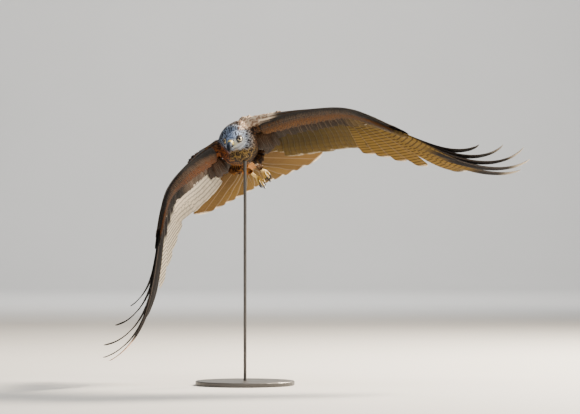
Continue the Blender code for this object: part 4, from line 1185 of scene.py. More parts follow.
@dataclass
class Skin:
    """One seamless skin over torso, neck, head, thighs, arms and the tail's root, under the coat."""

    finish: bpy.types.Material
    wings: list[WingShape]
    inset: float = 0.0065
    voxel: float = 0.0024

    def arms(self) -> list[Piece]:
        """The flesh of both wings as flattened tubes a little inside the solids' own."""
        made = []
        for wing in self.wings:
            at = np.linspace(-0.04, 0.985, 60)
            point, out, chord, up = wing.directions(np.clip(at, 0, 1))
            point = point + np.minimum(at, 0)[:, None] * out * 0.5
            turn = circle(40)
            width = wing.chord(at)[:, None]
            back = 0.001 + (width - 0.002) * (1 - np.cos(turn)) / 2
            half = blend(wing.flesh_at, wing.thicknesses, at)[:, None] / 2
            half = np.maximum(half - 0.0012, 0.0018)
            half = half * (1 - 0.16 * (1 - smooth(0.0, 0.12, at)))[:, None]
            rise = half * np.sin(turn) * (1 - 0.25 * (1 - np.cos(turn)) / 2)
            rings = point[:, None] + back[..., None] * chord[:, None] + rise[..., None] * up[:, None]
            made.append(mirrored(ring_piece(rings), wing.side))
        return made

    def tail_root(self) -> Piece:
        """The flattened stub that the tail is rooted in."""
        along = np.linspace(0.105, 0.166, 12)
        turn = circle(32)
        wide = np.interp(along, (0.105, 0.145, 0.166), (0.027, 0.0205, 0.013))[:, None]
        high = np.interp(along, (0.105, 0.145, 0.166), (0.017, 0.0105, 0.006))[:, None]
        rings = np.stack([wide * np.cos(turn), along[:, None] + 0 * turn, high * np.sin(turn)], axis=-1)
        return ring_piece(rings)

    def shell(self) -> Piece:
        """All the shapes joined by voxels and smoothed, in the bird's frame."""
        shapes = [TRUNK.torso(self.inset), TRUNK.neck(0.0045), HEAD.skull(0.0020), self.tail_root()]
        shapes += TRUNK.thighs(0.0045) + self.arms()
        whole = shapes[0].joined(shapes[1:])
        mesh = bpy.data.meshes.new("skin_shapes")
        mesh.from_pydata(whole.points.tolist(), [], whole.faces.tolist())
        helper = bpy.data.objects.new("skin_shapes", mesh)
        bpy.context.scene.collection.objects.link(helper)
        remesh = helper.modifiers.new("voxels", "REMESH")
        remesh.mode = "VOXEL"
        remesh.voxel_size = self.voxel
        soften = helper.modifiers.new("soften", "SMOOTH")
        soften.factor = 0.5
        soften.iterations = 5
        bpy.context.view_layer.update()
        made = bpy.data.meshes.new_from_object(helper.evaluated_get(bpy.context.evaluated_depsgraph_get()))
        points = np.empty(len(made.vertices) * 3, np.float32)
        made.vertices.foreach_get("co", points)
        faces = np.empty(len(made.loops), np.int32)
        made.loops.foreach_get("vertex_index", faces)
        bpy.data.objects.remove(helper, do_unlink=True)
        bpy.data.meshes.remove(made)
        return Piece(points.reshape(-1, 3).astype(float), faces.reshape(-1, 4).astype(np.int64))

    def build(self) -> Piece:
        """Makes the skin's object in place of the flesh nodes.

        Returns:
            The skin in the bird's frame, for the coat's roots.
        """
        shell = self.shell()
        normals = vertex_normals(shell)
        look = Markings(shell.points, normals)
        count = len(shell.points)
        layers = layers_of(count, tint=look.tint * 0.55, dark=BLACK * 1.2, glow=0.0, barbs=0.0)
        shown = Piece(POSE.place(shell.points), shell.faces, layers,
                      {"vane": np.zeros((count, 2)), "OFBake": unwrap(shell.points)})
        made = write_piece("skin", shown, self.finish)
        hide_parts("torso", "neck", "head", "thigh_left", "thigh_right")
        return shell


def vertex_normals(piece: Piece) -> Array:
    """Normals at the points: the sum of the crossed diagonals of the quads around each."""
    corners = piece.points[piece.faces]
    crossed = np.cross(corners[:, 2] - corners[:, 0], corners[:, 3] - corners[:, 1])
    total = np.zeros_like(piece.points)
    for corner in range(4):
        np.add.at(total, piece.faces[:, corner], crossed)
    return unit(total)


def unwrap(points: Array) -> Array:
    """The skin's own map: the angle about the long axis and the place along it."""
    across = np.arctan2(points[:, 0], points[:, 2]) / (2 * math.pi) + 0.5
    return np.stack([across, np.clip((points[:, 1] + 0.22) / 0.42, 0.01, 0.99)], axis=1)


STREAK = colour(0.014, 0.012, 0.014)
# Warm rufous streak colour: used where the mantle's painted sunlight turns black streaks warm, and on the
# thighs.
SPOT = colour(0.20, 0.070, 0.030)
# Head tones, pale grey to brown: their blue cast is painted skylight.
SKY_TINTED_HEAD_TONES = (colour(0.35, 0.46, 0.70), colour(0.24, 0.29, 0.38), colour(0.30, 0.24, 0.19))
CHEEK = colour(0.38, 0.42, 0.48)
LORES = colour(0.50, 0.46, 0.24)
THROAT = colour(0.26, 0.165, 0.045)
TUFT = colour(0.98, 0.80, 0.58)


class Markings:
    """Colour, streaks, size and lie of the small feathers at places on the body."""

    def __init__(self, points: Array, normals: Array) -> None:
        """Works out every value at the points, given in the bird's frame."""
        self.points, self.normals = points, normals
        self.in_head = HEAD.local(points)
        near = np.linalg.norm(points - np.array(HEAD.centre), axis=1)
        self.head = smooth(-0.052, -0.030, self.in_head[:, 1]) * smooth(0.070, 0.052, near)
        self.neck = smooth(-0.066, -0.100, points[:, 1]) * (1 - self.head)
        self.low = smooth(0.018, -0.022, points[:, 2]) * (1 - smooth(0.0, 0.4, normals[:, 2]))
        self.rear = smooth(0.01, 0.09, points[:, 1])
        gaps = [np.linalg.norm(points - np.array(hip), axis=1) for hip in TRUNK.hips]
        self.hip = smooth(0.045, 0.030, np.min(gaps, axis=0)) * self.low
        self.world = POSE.place(points)
        self.ahead, self.drop, self.reach = from_bill(self.world)
        self.comb()
        self.paint()
        self.measure()

    def comb(self) -> None:
        """Sets the lie: backwards on the body, down the thighs, away from the bill on head and neck."""
        points = self.points
        self.thigh = np.zeros(len(points))
        lie = np.tile([0.0, 1.0, 0.0], (len(points), 1))
        for hip, hock in zip(np.array(TRUNK.hips), np.array(TRUNK.hocks)):
            way = hock - hip
            share = np.clip((points - hip) @ way / (way @ way), 0, 1.15)
            gap = np.linalg.norm(points - hip - share[:, None] * way, axis=1)
            close = smooth(0.030, 0.020, gap) * smooth(0.15, 0.5, share)
            self.thigh = np.maximum(self.thigh, close)
            lie = mixed(close, lie, unit(way))
        away = unit(points - HEAD.place([[0.0, 0.034, -0.004]])[0])
        lie = mixed(np.maximum(self.head, 0.80 * self.neck), lie, away)
        lie = lie - self.normals * np.sum(lie * self.normals, axis=1, keepdims=True)
        self.steep = np.linalg.norm(lie, axis=1)
        self.lie = unit(lie)

    def body_colour(self) -> Array:
        """Rufous below, browner above and in front, with pale tufts on the left thigh."""
        x, y = self.points[:, 0], self.points[:, 1]
        breast = mixed(smooth(0.0, 0.05, y), colour(0.270, 0.080, 0.018), colour(0.300, 0.105, 0.020))
        dusky = smooth(0.000, 0.030, self.ahead) * smooth(0.05, 0.0, y)
        breast = mixed(0.8 * dusky, breast, colour(0.110, 0.066, 0.028))
        under = mixed(smooth(0.02, 0.07, y), breast, colour(0.46, 0.170, 0.030))
        back = mixed(self.rear, colour(0.150, 0.078, 0.036), colour(0.33, 0.130, 0.040))
        body = mixed(self.low, back, under)
        across, high = self.world[:, 0], self.world[:, 2]
        tuft = smooth(-0.35, 0.25, np.sin(across * 520 + high * 260)) * smooth(0.48, 0.60, high) * (x > 0.0)
        flank = mixed(smooth(0.0, 0.01, x), colour(0.42, 0.165, 0.030), colour(0.10, 0.055, 0.022))
        flank = mixed(tuft * self.thigh, flank, TUFT)
        return mixed(np.maximum(self.thigh, self.hip), body, flank)

    def face_colour(self, cheek: Array) -> Array:
        """Pale grey round the bill with a blue cast of painted skylight, greyer and browner outwards, with
        yellowish lores.
        """
        face = mixed(smooth(0.028, 0.058, self.reach), SKY_TINTED_HEAD_TONES[0], SKY_TINTED_HEAD_TONES[1])
        face = mixed(smooth(0.056, 0.088, self.reach), face, SKY_TINTED_HEAD_TONES[2])
        face = mixed(cheek, face, CHEEK)
        lores = smooth(0.016, 0.006, np.hypot(self.ahead - 0.006, self.drop + 0.002))
        return mixed(0.6 * lores, face, LORES)

    def eye_ring(self) -> Array:
        """1 on the dark skin round each eye, an ellipse in the eye's own directions."""
        ring = np.zeros(len(self.points))
        for side in Side:
            place = HEAD.eye_place(self.in_head, side)
            gap = np.hypot((place[:, 0] + 0.0005) / 0.0138, place[:, 1] / 0.0104)
            ring = np.maximum(ring, smooth(1.10, 0.92, gap) * (self.in_head[:, 0] * side.value > 0))
        return ring

    def paint(self) -> None:
        """Sets colours, ink, spots and rims by regions seen in the picture round the bill's root."""
        ahead, drop, reach = self.ahead, self.drop, self.reach
        y = self.points[:, 1]
        wave = 0.0025 * np.sin(ahead * 330) * np.sin(drop * 290)
        above = drop - np.maximum(-0.022 + 0.15 * ahead, -0.027 - ahead) + wave
        pale = smooth(0.094, 0.076, reach + wave) * smooth(-0.011, 0.007, above)
        throat = smooth(0.010, -0.006, above) * smooth(-0.060, -0.034, drop + 2 * wave)
        throat = throat * smooth(-0.010, 0.002, ahead) * smooth(0.092, 0.074, ahead)
        throat = throat * smooth(0.02, -0.04, y)
        cheek = smooth(0.060, 0.046, reach) * smooth(0.004, 0.014, ahead)
        cheek = cheek * smooth(0.016, 0.006, drop - 0.15 * ahead)
        # Painted sunlight: above the sun line the feathers take the pale sunlit mantle colour, their
        # streaks turn warm rufous and their ink is held at 0.70.
        self.sunny = sunlit_share(self.world) * smooth(0.07, 0.02, y)
        tint = mixed(pale, self.body_colour(), self.face_colour(cheek))
        tint = mixed(0.9 * self.sunny, mixed(throat, tint, THROAT), SUNLIT_MANTLE)
        self.base = mixed(0.93 * self.eye_ring(), tint, STREAK)
        self.spots = mixed(np.maximum(self.sunny, 0.7 * self.thigh), STREAK, SPOT)
        crown = smooth(0.000, 0.012, drop - 0.3 * np.abs(ahead))
        ink = mixed_number(smooth(0.018, 0.050, reach), 0.55 + 0.42 * crown, 1.0) * (1 - 0.65 * cheek)
        ink = mixed_number(pale, 0.95 * smooth(0.19, 0.12, reach) * smooth(0.08, 0.03, y), ink)
        ink = mixed_number(self.sunny, np.maximum(ink, throat), 0.70)
        self.ink = np.maximum(ink, 0.75 * self.thigh)
        self.tint = mixed(self.ink * dashes(ahead, drop, reach), self.base, self.spots)
        streak = mixed_number(np.maximum(pale, throat), 0.70 - 0.45 * self.rear * self.low, 0.15 * self.ink)
        self.streak = streak * (1 - 0.7 * self.thigh)
        self.rim = 0.03 + 0.25 * (1 - self.low) * (1 - pale) + 0.35 * self.thigh

    def measure(self) -> None:
        """Sets length, width and lift: smallest at the bill, shorter on thighs, hips and arms."""
        reach, beside = self.reach, np.abs(self.points[:, 0])
        size = mixed_number(smooth(0.022, 0.066, reach), 0.0046, 0.0150)
        whole = mixed_number(smooth(0.064, 0.104, reach), size, 0.026 + 0.004 * self.rear)
        length = whole * (0.40 + 0.60 * smooth(0.15, 0.75, self.steep))
        length = length * (1 - 0.42 * smooth(0.045, 0.070, beside))
        self.length = length * (1 - 0.40 * np.maximum(self.hip, self.thigh))
        self.width = whole * mixed_number(smooth(0.060, 0.100, reach), 0.170, 0.23)
        shoulder = smooth(0.030, 0.055, beside) * smooth(0.0, 0.5, self.normals[:, 2])
        shoulder = shoulder * smooth(0.06, 0.02, self.points[:, 1])
        raised = 0.10 * self.neck * self.low + 0.12 * self.thigh + 0.03 * self.head
        self.lift = 0.07 + raised - 0.06 * shoulder


def from_bill(world: Array) -> tuple[Array, Array, Array]:
    """Places of world points sideways and upwards from the bill's root, and their distance from it."""
    beak = POSE.place(HEAD.place([[0.002, 0.028, 0.004]]))[0]
    ahead, drop = world[:, 0] - beak[0], world[:, 2] - beak[2]
    return ahead, drop, np.sqrt(ahead**2 + drop**2 + (0.45 * (world[:, 1] - beak[1])) ** 2)


def dashes(ahead: Array, drop: Array, reach: Array) -> Array:
    """Short dark streaks in wavy lines that spread from the bill's root, each line set off from the next.

    Args:
        ahead: Place sideways from the bill's root.
        drop: Place upwards from it.
        reach: Distance from it.

    Returns:
        1 on a streak and 0 between, where 26, 42 or 62 lines share a full turn and a streak is 16 mm long.
    """
    swing = 0.26 * np.sin(reach * 300 + 1.3 * np.sin(ahead * 210)) + 0.16 * np.sin(drop * 480 + ahead * 240)
    lines = np.where(reach < 0.042, 26, np.where(reach < 0.070, 42, 62))
    turn = np.arctan2(drop, ahead) * lines / (2 * math.pi) + swing
    line = np.floor(turn)
    across = np.abs(turn - line - 0.5) * 2
    row = reach / 0.016 + 0.5 * (line % 2) + 0.40 * np.sin(line * 5.1) + 0.15 * np.sin(drop * 400)
    part = row - np.floor(row)
    wide = 0.54 + 0.14 * smooth(0.030, 0.075, reach) + 0.12 * smooth(-0.012, -0.030, drop)
    wide = wide + 0.16 * np.sin(line * 3.7 + np.floor(row) * 2.3)
    return smooth(wide + 0.14, wide - 0.14, across) * smooth(0.0, 0.12, part) * smooth(0.98, 0.76, part)


def mixed_number(share: Array, first: Array, second: Array) -> Array:
    """first at 0 and second at 1."""
    return first * (1 - share) + second * share


@dataclass(frozen=True)
class Region:
    """One region of the coat: the cell that holds one feather, and the feather's shape."""

    name: str
    spacing: float
    rows: int
    slot: str
    outline: Outline
    thick: float = 0.00045


REGIONS = (Region("coat_face", 0.00125, 4, "head_plumage", LANCE, 0.0003),
           Region("coat_crown", 0.0021, 5, "head_plumage", LANCE),
           Region("coat_nape", 0.0029, 6, "head_plumage", LANCE),
           Region("coat_neck", 0.0030, 6, "body_plumage", LANCE),
           Region("coat_thighs", 0.0034, 6, "body_plumage", BODY),
           Region("coat_back", 0.0038, 6, "body_plumage", BODY),
           Region("coat_breast", 0.0038, 6, "body_plumage", BODY))


@dataclass
class Coat:
    """The small feathers of the head, neck, body and thighs, rooted all over the skin."""

    finish: bpy.types.Material
    skin: Piece
    seed: int = 3
    tries: int = 420000

    def scattered(self, rng: np.random.Generator) -> tuple[Array, Array]:
        """Random places on the skin, by area, with their normals."""
        quads = self.skin.faces
        triangles = np.concatenate([quads[:, [0, 1, 2]], quads[:, [0, 2, 3]]])
        corners = self.skin.points[triangles]
        edges = corners[:, 1:] - corners[:, :1]
        area = np.linalg.norm(np.cross(edges[:, 0], edges[:, 1]), axis=1)
        chosen = rng.choice(len(triangles), self.tries, p=area / area.sum())
        first, second = rng.random((2, len(chosen)))
        flip = first + second > 1
        first, second = np.where(flip, 1 - first, first), np.where(flip, 1 - second, second)
        weight = np.stack([1 - first - second, first, second], axis=1)
        normals = vertex_normals(self.skin)
        return (np.einsum("ij,ijk->ik", weight, corners[chosen]),
                unit(np.einsum("ij,ijk->ik", weight, normals[triangles[chosen]])))

    @staticmethod
    def thinned(points: Array, spacing: float) -> Array:
        """Numbers of points kept so that each cell of this size, and half a cell aside, holds one."""
        kept = np.arange(len(points))
        for shift in (0.0, 0.5):
            cells = np.floor(points[kept] / spacing + shift).astype(np.int64)
            _, first = np.unique(cells, axis=0, return_index=True)
            kept = kept[np.sort(first)]
        return kept

    def bare(self, points: Array, normals: Array) -> Array:
        """Where nothing grows: the eyes, the bill's root, the arms' outer parts and the tail's stub."""
        head = HEAD.local(points)
        eye = np.zeros(len(points), bool)
        for side in Side:
            place = HEAD.eye_place(head, side)
            opening = np.hypot(place[:, 0] / 0.0104, place[:, 1] / 0.0080) < 1
            eye |= opening & (head[:, 0] * side.value > 0)
        bill = head[:, 1] > 0.0205
        stub = (points[:, 1] > 0.142) & (points[:, 2] > -0.03)
        below = np.where(points[:, 1] < 0.0, 0.106, 0.080)
        wings = np.abs(points[:, 0]) > np.where(normals[:, 2] > 0.1, 0.135, below)
        return eye | bill | stub | wings

    def build(self) -> None:
        """Makes the coat region by region."""
        rng = np.random.default_rng(self.seed)
        points, normals = self.scattered(rng)
        keep = ~self.bare(points, normals)
        points, normals = points[keep], normals[keep]
        look = Markings(points, normals)
        inner = np.abs(points[:, 0]) < 0.050
        keep = np.where(inner, (look.steep > 0.45) | (points[:, 1] < 0.04), look.steep > 0.62)
        keep |= (look.thigh > 0.5) & (look.steep > 0.10)
        points, normals = points[keep], normals[keep]
        look = Markings(points, normals)
        region = np.searchsorted((0.034, 0.056, 0.077, 0.098), look.reach)
        rest = np.where(look.thigh > 0.5, 4, np.where(points[:, 2] > 0, 5, 6))
        region = np.where(region < 4, region, rest)
        for number, kind in enumerate(REGIONS):
            mine = np.flatnonzero(region == number)
            mine = mine[self.thinned(points[mine], kind.spacing)]
            self.grow(kind, rng, mine, points[mine], normals[mine], look)

    def grow(self, kind: Region, rng: np.random.Generator, mine: Array, points: Array, normals: Array,
             look: Markings) -> None:
        """Grows one region's feathers at its points and draws the streaks on them.

        Args:
            kind: The region.
            rng: Source of the small changes.
            mine: Numbers of the region's points in the markings.
            points: Their places.
            normals: Their normals.
            look: The markings of all points.
        """
        count = len(mine)
        turn = rng.normal(0, 0.16, count)[:, None]
        lie = np.cos(turn) * look.lie[mine] + np.sin(turn) * np.cross(normals, look.lie[mine])
        lift = look.lift[mine] + rng.normal(0, 0.035, count)
        way = np.cos(lift)[:, None] * lie + np.sin(lift)[:, None] * normals
        length = look.length[mine] * (1 + rng.normal(0, 0.12, count))
        web = look.width[mine] * (1 + rng.normal(0, 0.08, count))
        root = points - 0.0006 * normals
        camber = 0.25 + 0.9 * lift + 0.5 * (1 - look.steep[mine])
        vanes = Vanes(root, way, normals, length, web, web, kind.outline, camber=camber, cup=0.22,
                      thick=kind.thick, rows=kind.rows, columns=3)
        shown = Markings(points + (0.55 * length)[:, None] * lie, normals)
        tint = np.clip(shown.base * (1 + rng.normal(0, 0.08, (count, 1))), 0.01, 1)
        layers = layers_of(count, tint=tint, dark=BLACK * 1.2, streak=shown.streak, rim=look.rim[mine],
                           glow=0.30 + 0.50 * shown.sunny, barbs=length * 4200)
        piece = vanes.build(layers, unwrap(root))
        piece.points = POSE.place(piece.points)
        each = len(piece.points) // count
        marks = dashes(*from_bill(piece.points)) * np.repeat(shown.ink, each)
        piece.layers["tint"] = mixed(marks, piece.layers["tint"], np.repeat(shown.spots, each, axis=0))
        write_piece(kind.name, piece, self.finish)


@dataclass(frozen=True)
class EyeFinish:
    """A pale yellow iris with fine spokes, a black pupil and a wet surface."""

    name: str = "eye"

    def make(self) -> bpy.types.Material:
        """Reads the layer gaze, the sine of the angle from the pupil's middle."""
        n = Node(self.name)
        gaze = n.attribute("gaze")
        spoke = n.noise(900.0, 2.0)
        iris = n.mix(spoke, (0.66, 0.54, 0.28), (0.88, 0.80, 0.56))
        iris = n.mix(n.ramp(gaze, 0.44, 0.52, 1.0, 0.0), iris, (0.46, 0.26, 0.07))
        iris = n.mix(n.ramp(gaze, 0.70, 0.78), iris, (0.03, 0.02, 0.015))
        pupil = n.ramp(gaze, 0.40, 0.44, 1.0, 0.0)
        shown = n.mix(pupil, iris, (0.004, 0.004, 0.004))
        inputs = {"Base Color": shown, "Roughness": 0.16, "Coat Weight": 0.30, "Coat Roughness": 0.03}
        return n.finish(n.add("BsdfPrincipled", inputs).outputs[0])


@dataclass(frozen=True)
class HornFinish:
    """Bill or claw horn: blue-black at the tip, paler at the root, with fine growth lines."""

    name: str
    root: tuple
    tip: tuple
    roughness: float = 0.26

    def make(self) -> bpy.types.Material:
        """Reads the layer along, from 0 at the root to 1 at the tip."""
        n = Node(self.name)
        along = n.attribute("along")
        worn = n.noise(260.0, 4.0)
        place = n.maths("MULTIPLY_ADD", worn, 0.25, n.maths("SUBTRACT", along, 0.12))
        shown = n.mix(n.ramp(place, 0.10, 0.62), self.root, self.tip)
        lines = n.maths("SINE", n.maths("MULTIPLY", along, 95.0))
        height = n.maths("MULTIPLY_ADD", lines, 0.22, worn)
        rough = n.ramp(worn, 0.3, 0.8, self.roughness - 0.06, self.roughness + 0.14)
        inputs = {"Base Color": shown, "Roughness": rough, "Normal": n.bump(height, 0.18, 0.0003)}
        horn = n.add("BsdfPrincipled", inputs)
        horn.inputs["Specular IOR Level"].default_value = 0.15
        return n.finish(horn.outputs[0])


@dataclass(frozen=True)
class BareFinish:
    """Bare yellow skin: waxy and lightly pored, or scaly on the legs."""

    name: str
    tint: tuple
    shade: tuple
    scales: float = 0.0
    gloss: float = 0.38

    def make(self) -> bpy.types.Material:
        """Mottles the two colours and raises pores or scales on Object coordinates."""
        n = Node(self.name)
        place = n.add("TexCoord").outputs["Object"]
        cells = n.add("TexVoronoi", {"Vector": place, "Scale": 520.0 if self.scales else 1300.0},
                      feature="DISTANCE_TO_EDGE").outputs["Distance"]
        mottled = n.noise(160.0, 4.0)
        shown = n.mix(n.ramp(mottled, 0.35, 0.70), self.tint, self.shade)
        line = n.ramp(cells, 0.02, 0.14, 1.0, 0.0)
        shown = n.mix(n.maths("MULTIPLY", line, 0.55 if self.scales else 0.15), shown, (0.14, 0.08, 0.02))
        normal = n.bump(n.ramp(cells, 0.0, 0.25), 0.5 if self.scales else 0.15, 0.0004)
        inputs = {"Base Color": shown, "Roughness": n.ramp(mottled, 0.2, 0.8, self.gloss, self.gloss + 0.2),
                  "Normal": normal, "Subsurface Weight": 0.08, "Subsurface Scale": 0.002}
        return n.finish(n.add("BsdfPrincipled", inputs).outputs[0])


@dataclass(frozen=True)
class MetalFinish:
    """Satin black-bronzed steel of the stand, brushed and faintly smudged."""

    name: str = "stand metal"

    def make(self) -> bpy.types.Material:
        """Brushes rings with noise stretched flat, and varies the roughness."""
        n = Node(self.name)
        place = n.add("TexCoord").outputs["Object"]
        drawn = n.add("Mapping", {"Vector": place, "Scale": (6.0, 6.0, 900.0)}).outputs[0]
        brushed = n.add("TexNoise", {"Vector": drawn, "Scale": 3.0, "Detail": 3.0}).outputs["Fac"]
        smudge = n.noise(14.0, 4.0)
        shown = n.mix(smudge, (0.075, 0.072, 0.070), (0.125, 0.118, 0.110))
        rough = n.maths("MULTIPLY_ADD", smudge, 0.22, n.maths("MULTIPLY_ADD", brushed, 0.10, 0.24))
        inputs = {"Base Color": shown, "Metallic": 0.85, "Roughness": rough,
                  "Normal": n.bump(brushed, 0.08, 0.0002)}
        return n.finish(n.add("BsdfPrincipled", inputs).outputs[0])


def head_piece(name: str, piece: Piece, finish: bpy.types.Material, node: str = "",
               along: Array | None = None) -> None:
    """Places a piece of the bill in the world and writes it.

    Args:
        name: Name of the piece.
        piece: The piece in the bird's frame.
        finish: Its material.
        node: The solid whose place it takes, or none for bare skin beside the bill.
        along: Place of each ring from root to tip, for horn.
    """
    if along is not None:
        share = np.concatenate([[0, 0], along, [1, 1]])
        piece.layers["along"] = np.repeat(share, len(piece.points) // len(share))
    piece.points = POSE.place(piece.points)
    made = write_piece(name, piece, finish)
    if node:
        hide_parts(node)


@dataclass
class Face:
    """Eyes with their lids, the cere, the hooked bill and the yellow corners of the mouth."""

    eye: bpy.types.Material
    lid: bpy.types.Material
    wax: bpy.types.Material
    corner: bpy.types.Material
    horn: bpy.types.Material
    lid_width: float = 1.25

    def eyes(self) -> None:
        """Both eyeballs: a sphere round the line of sight with a low cornea."""
        for side in Side:
            centre, _, across, rise = HEAD.eye_axes(side)
            sight = unit(np.array([0.60 * side.value, 0.79, 0.12]))
            across = unit(across - sight * (across @ sight))
            rise = np.cross(sight, across)
            polar, turn = np.linspace(0, math.pi, 40), circle(48)
            radius = HEAD.eye_radius * (1 + 0.035 * np.exp(-((polar / 0.42) ** 2)))
            ring = np.cos(turn)[:, None] * across + np.sin(turn)[:, None] * rise
            out = (np.cos(polar) * radius)[:, None, None] * sight
            rings = centre + out + (np.sin(polar) * radius)[:, None, None] * ring
            points = HEAD.place(rings.reshape(-1, 3))
            gaze = np.repeat(np.where(polar < math.pi / 2, np.sin(polar), 1.0), len(turn))
            faces = grid_faces(len(polar), len(turn), closed=True)
            ball = Piece(POSE.place(points), faces, {"gaze": gaze}).outward()
            made = write_piece(f"eyeball_{side.word}", ball, self.eye)
            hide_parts(f"eye_{side.word}")

    def lids(self) -> None:
        """The dark rim round each eye: a ring of changing thickness on the eyeball, heavier above."""
        steps, sides = 64, 12
        for side in Side:
            middle, sight, ahead, up = HEAD.eye_axes(side)
            turn = circle(steps)
            front = (0.0083 * np.cos(turn))[:, None]
            high = (0.0063 * np.sin(turn) * (1 - 0.18 * np.cos(turn)))[:, None]
            bulge = np.sqrt((HEAD.eye_radius + 0.0006) ** 2 - np.minimum(front**2 + high**2, 0.0086**2))
            radial = front * ahead + high * up
            outward = bulge * sight + radial
            centre = middle + outward
            size = (0.0016 + 0.0007 * smooth(0.0, 0.9, np.sin(turn)))[:, None, None]
            small = circle(sides)[:, None]
            rings = (np.cos(small) * unit(outward)[:, None]
                     + self.lid_width * np.sin(small) * unit(radial)[:, None]) * size + centre[:, None]
            faces = grid_faces(steps + 1, sides, closed=True) % (steps * sides)
            ring = Piece(POSE.place(HEAD.place(rings.reshape(-1, 3))), faces).outward()
            write_piece(f"lid_{side.word}", ring, self.lid)

    def upper_rings(self, place: Array, grow: float = 0.0) -> Array:
        """Sections of the cere and upper bill: forward as a sine, down as a power of the place."""
        place = place[:, None]
        turn = circle(40)
        reach = HEAD.cere_length + HEAD.bill_length * 0.80
        forward = HEAD.axis[-1] + 0.0003 + reach * np.sin(place * math.pi / 2 * 0.94)
        wide = 0.0086 * (1 - place) ** 0.62 + 0.0006 + grow
        top = 0.0104 * (1 - place) ** 0.72 + 0.0004 + grow
        low = 0.0040 * (1 - place) ** 0.5 + 0.0004
        height = egg_height(turn, top, low)
        x = wide * np.sign(np.cos(turn)) * np.abs(np.cos(turn)) ** 0.9
        return np.stack([x, forward + 0 * turn, -0.0004 + height - HEAD.bill_hook * place**2.6], axis=-1)

    @staticmethod
    def lower_rings(place: Array) -> Array:
        """Sections of the lower bill, which bends down a little towards its tip."""
        place = place[:, None]
        turn = circle(32)
        wide = 0.0072 * (1 - place) ** 0.55 + 0.0010
        half = 0.0021 * (1 - place) ** 0.6 + 0.0003
        middle = -0.0050 - HEAD.bill_hook * (0.35 * place) ** 2.0 - half
        forward = HEAD.axis[-1] - 0.004 + 0.0255 * place
        return np.stack([wide * np.cos(turn), forward + 0 * turn, middle + half * np.sin(turn)], axis=-1)

    def bill(self) -> None:
        """The cere and both bills, in place of their solids."""
        share = HEAD.cere_share
        place = np.clip(np.linspace(-0.02, share, 12), 0.0, 1.0)
        head_piece("cere_wax", ring_piece(HEAD.place(self.upper_rings(place, 0.0003))), self.wax, "cere")
        place = 1 - (1 - share) * np.linspace(1, 0.004, 44) ** 1.2
        upper = ring_piece(HEAD.place(self.upper_rings(place)))
        head_piece("upper_horn", upper, self.horn, "bill_upper", (place - share) / (1 - share))
        place = np.linspace(0, 0.995, 30)
        lower = ring_piece(HEAD.place(self.lower_rings(place)))
        head_piece("lower_horn", lower, self.horn, "bill_lower", place)

    def mouth(self) -> None:
        """The yellow corners of the mouth and the nostrils, a pair of each."""
        for side in Side:
            along = np.linspace(0.0265, -0.0065, 24)
            wide = blend(HEAD.axis, HEAD.half_width, np.minimum(along, HEAD.axis[-1])) - 0.0012
            drop = -0.0050 - 0.0030 * np.clip(-(along - 0.010) / 0.016, 0, 1)
            x = side.value * wide * np.sqrt(1 - (drop / 0.0195) ** 2 * 0.5)
            line = HEAD.place(np.stack([x, along, drop], axis=1))
            radii = 0.0007 * np.sqrt(np.clip(1 - np.linspace(0.02, 1, 24) ** 3, 0.01, 1))
            head_piece(f"gape_{side.word}", tube_piece(line, radii, 12), self.corner)
            x = side.value * 0.0074
            first, last = HEAD.place([[x, 0.0272, 0.0036], [x, 0.0285, 0.0030]])
            line = first + np.linspace(-1.3, 1.3, 12)[:, None] * (last - first)
            radii = 0.0009 * np.sqrt(np.clip(1 - np.linspace(-0.98, 0.98, 12) ** 2, 0.02, 1))
            head_piece(f"nostril_{side.word}", tube_piece(line, radii, 12), self.lid)

    def build(self) -> None:
        """Makes every piece of the face."""
        self.eyes()
        self.lids()
        self.bill()
        self.mouth()


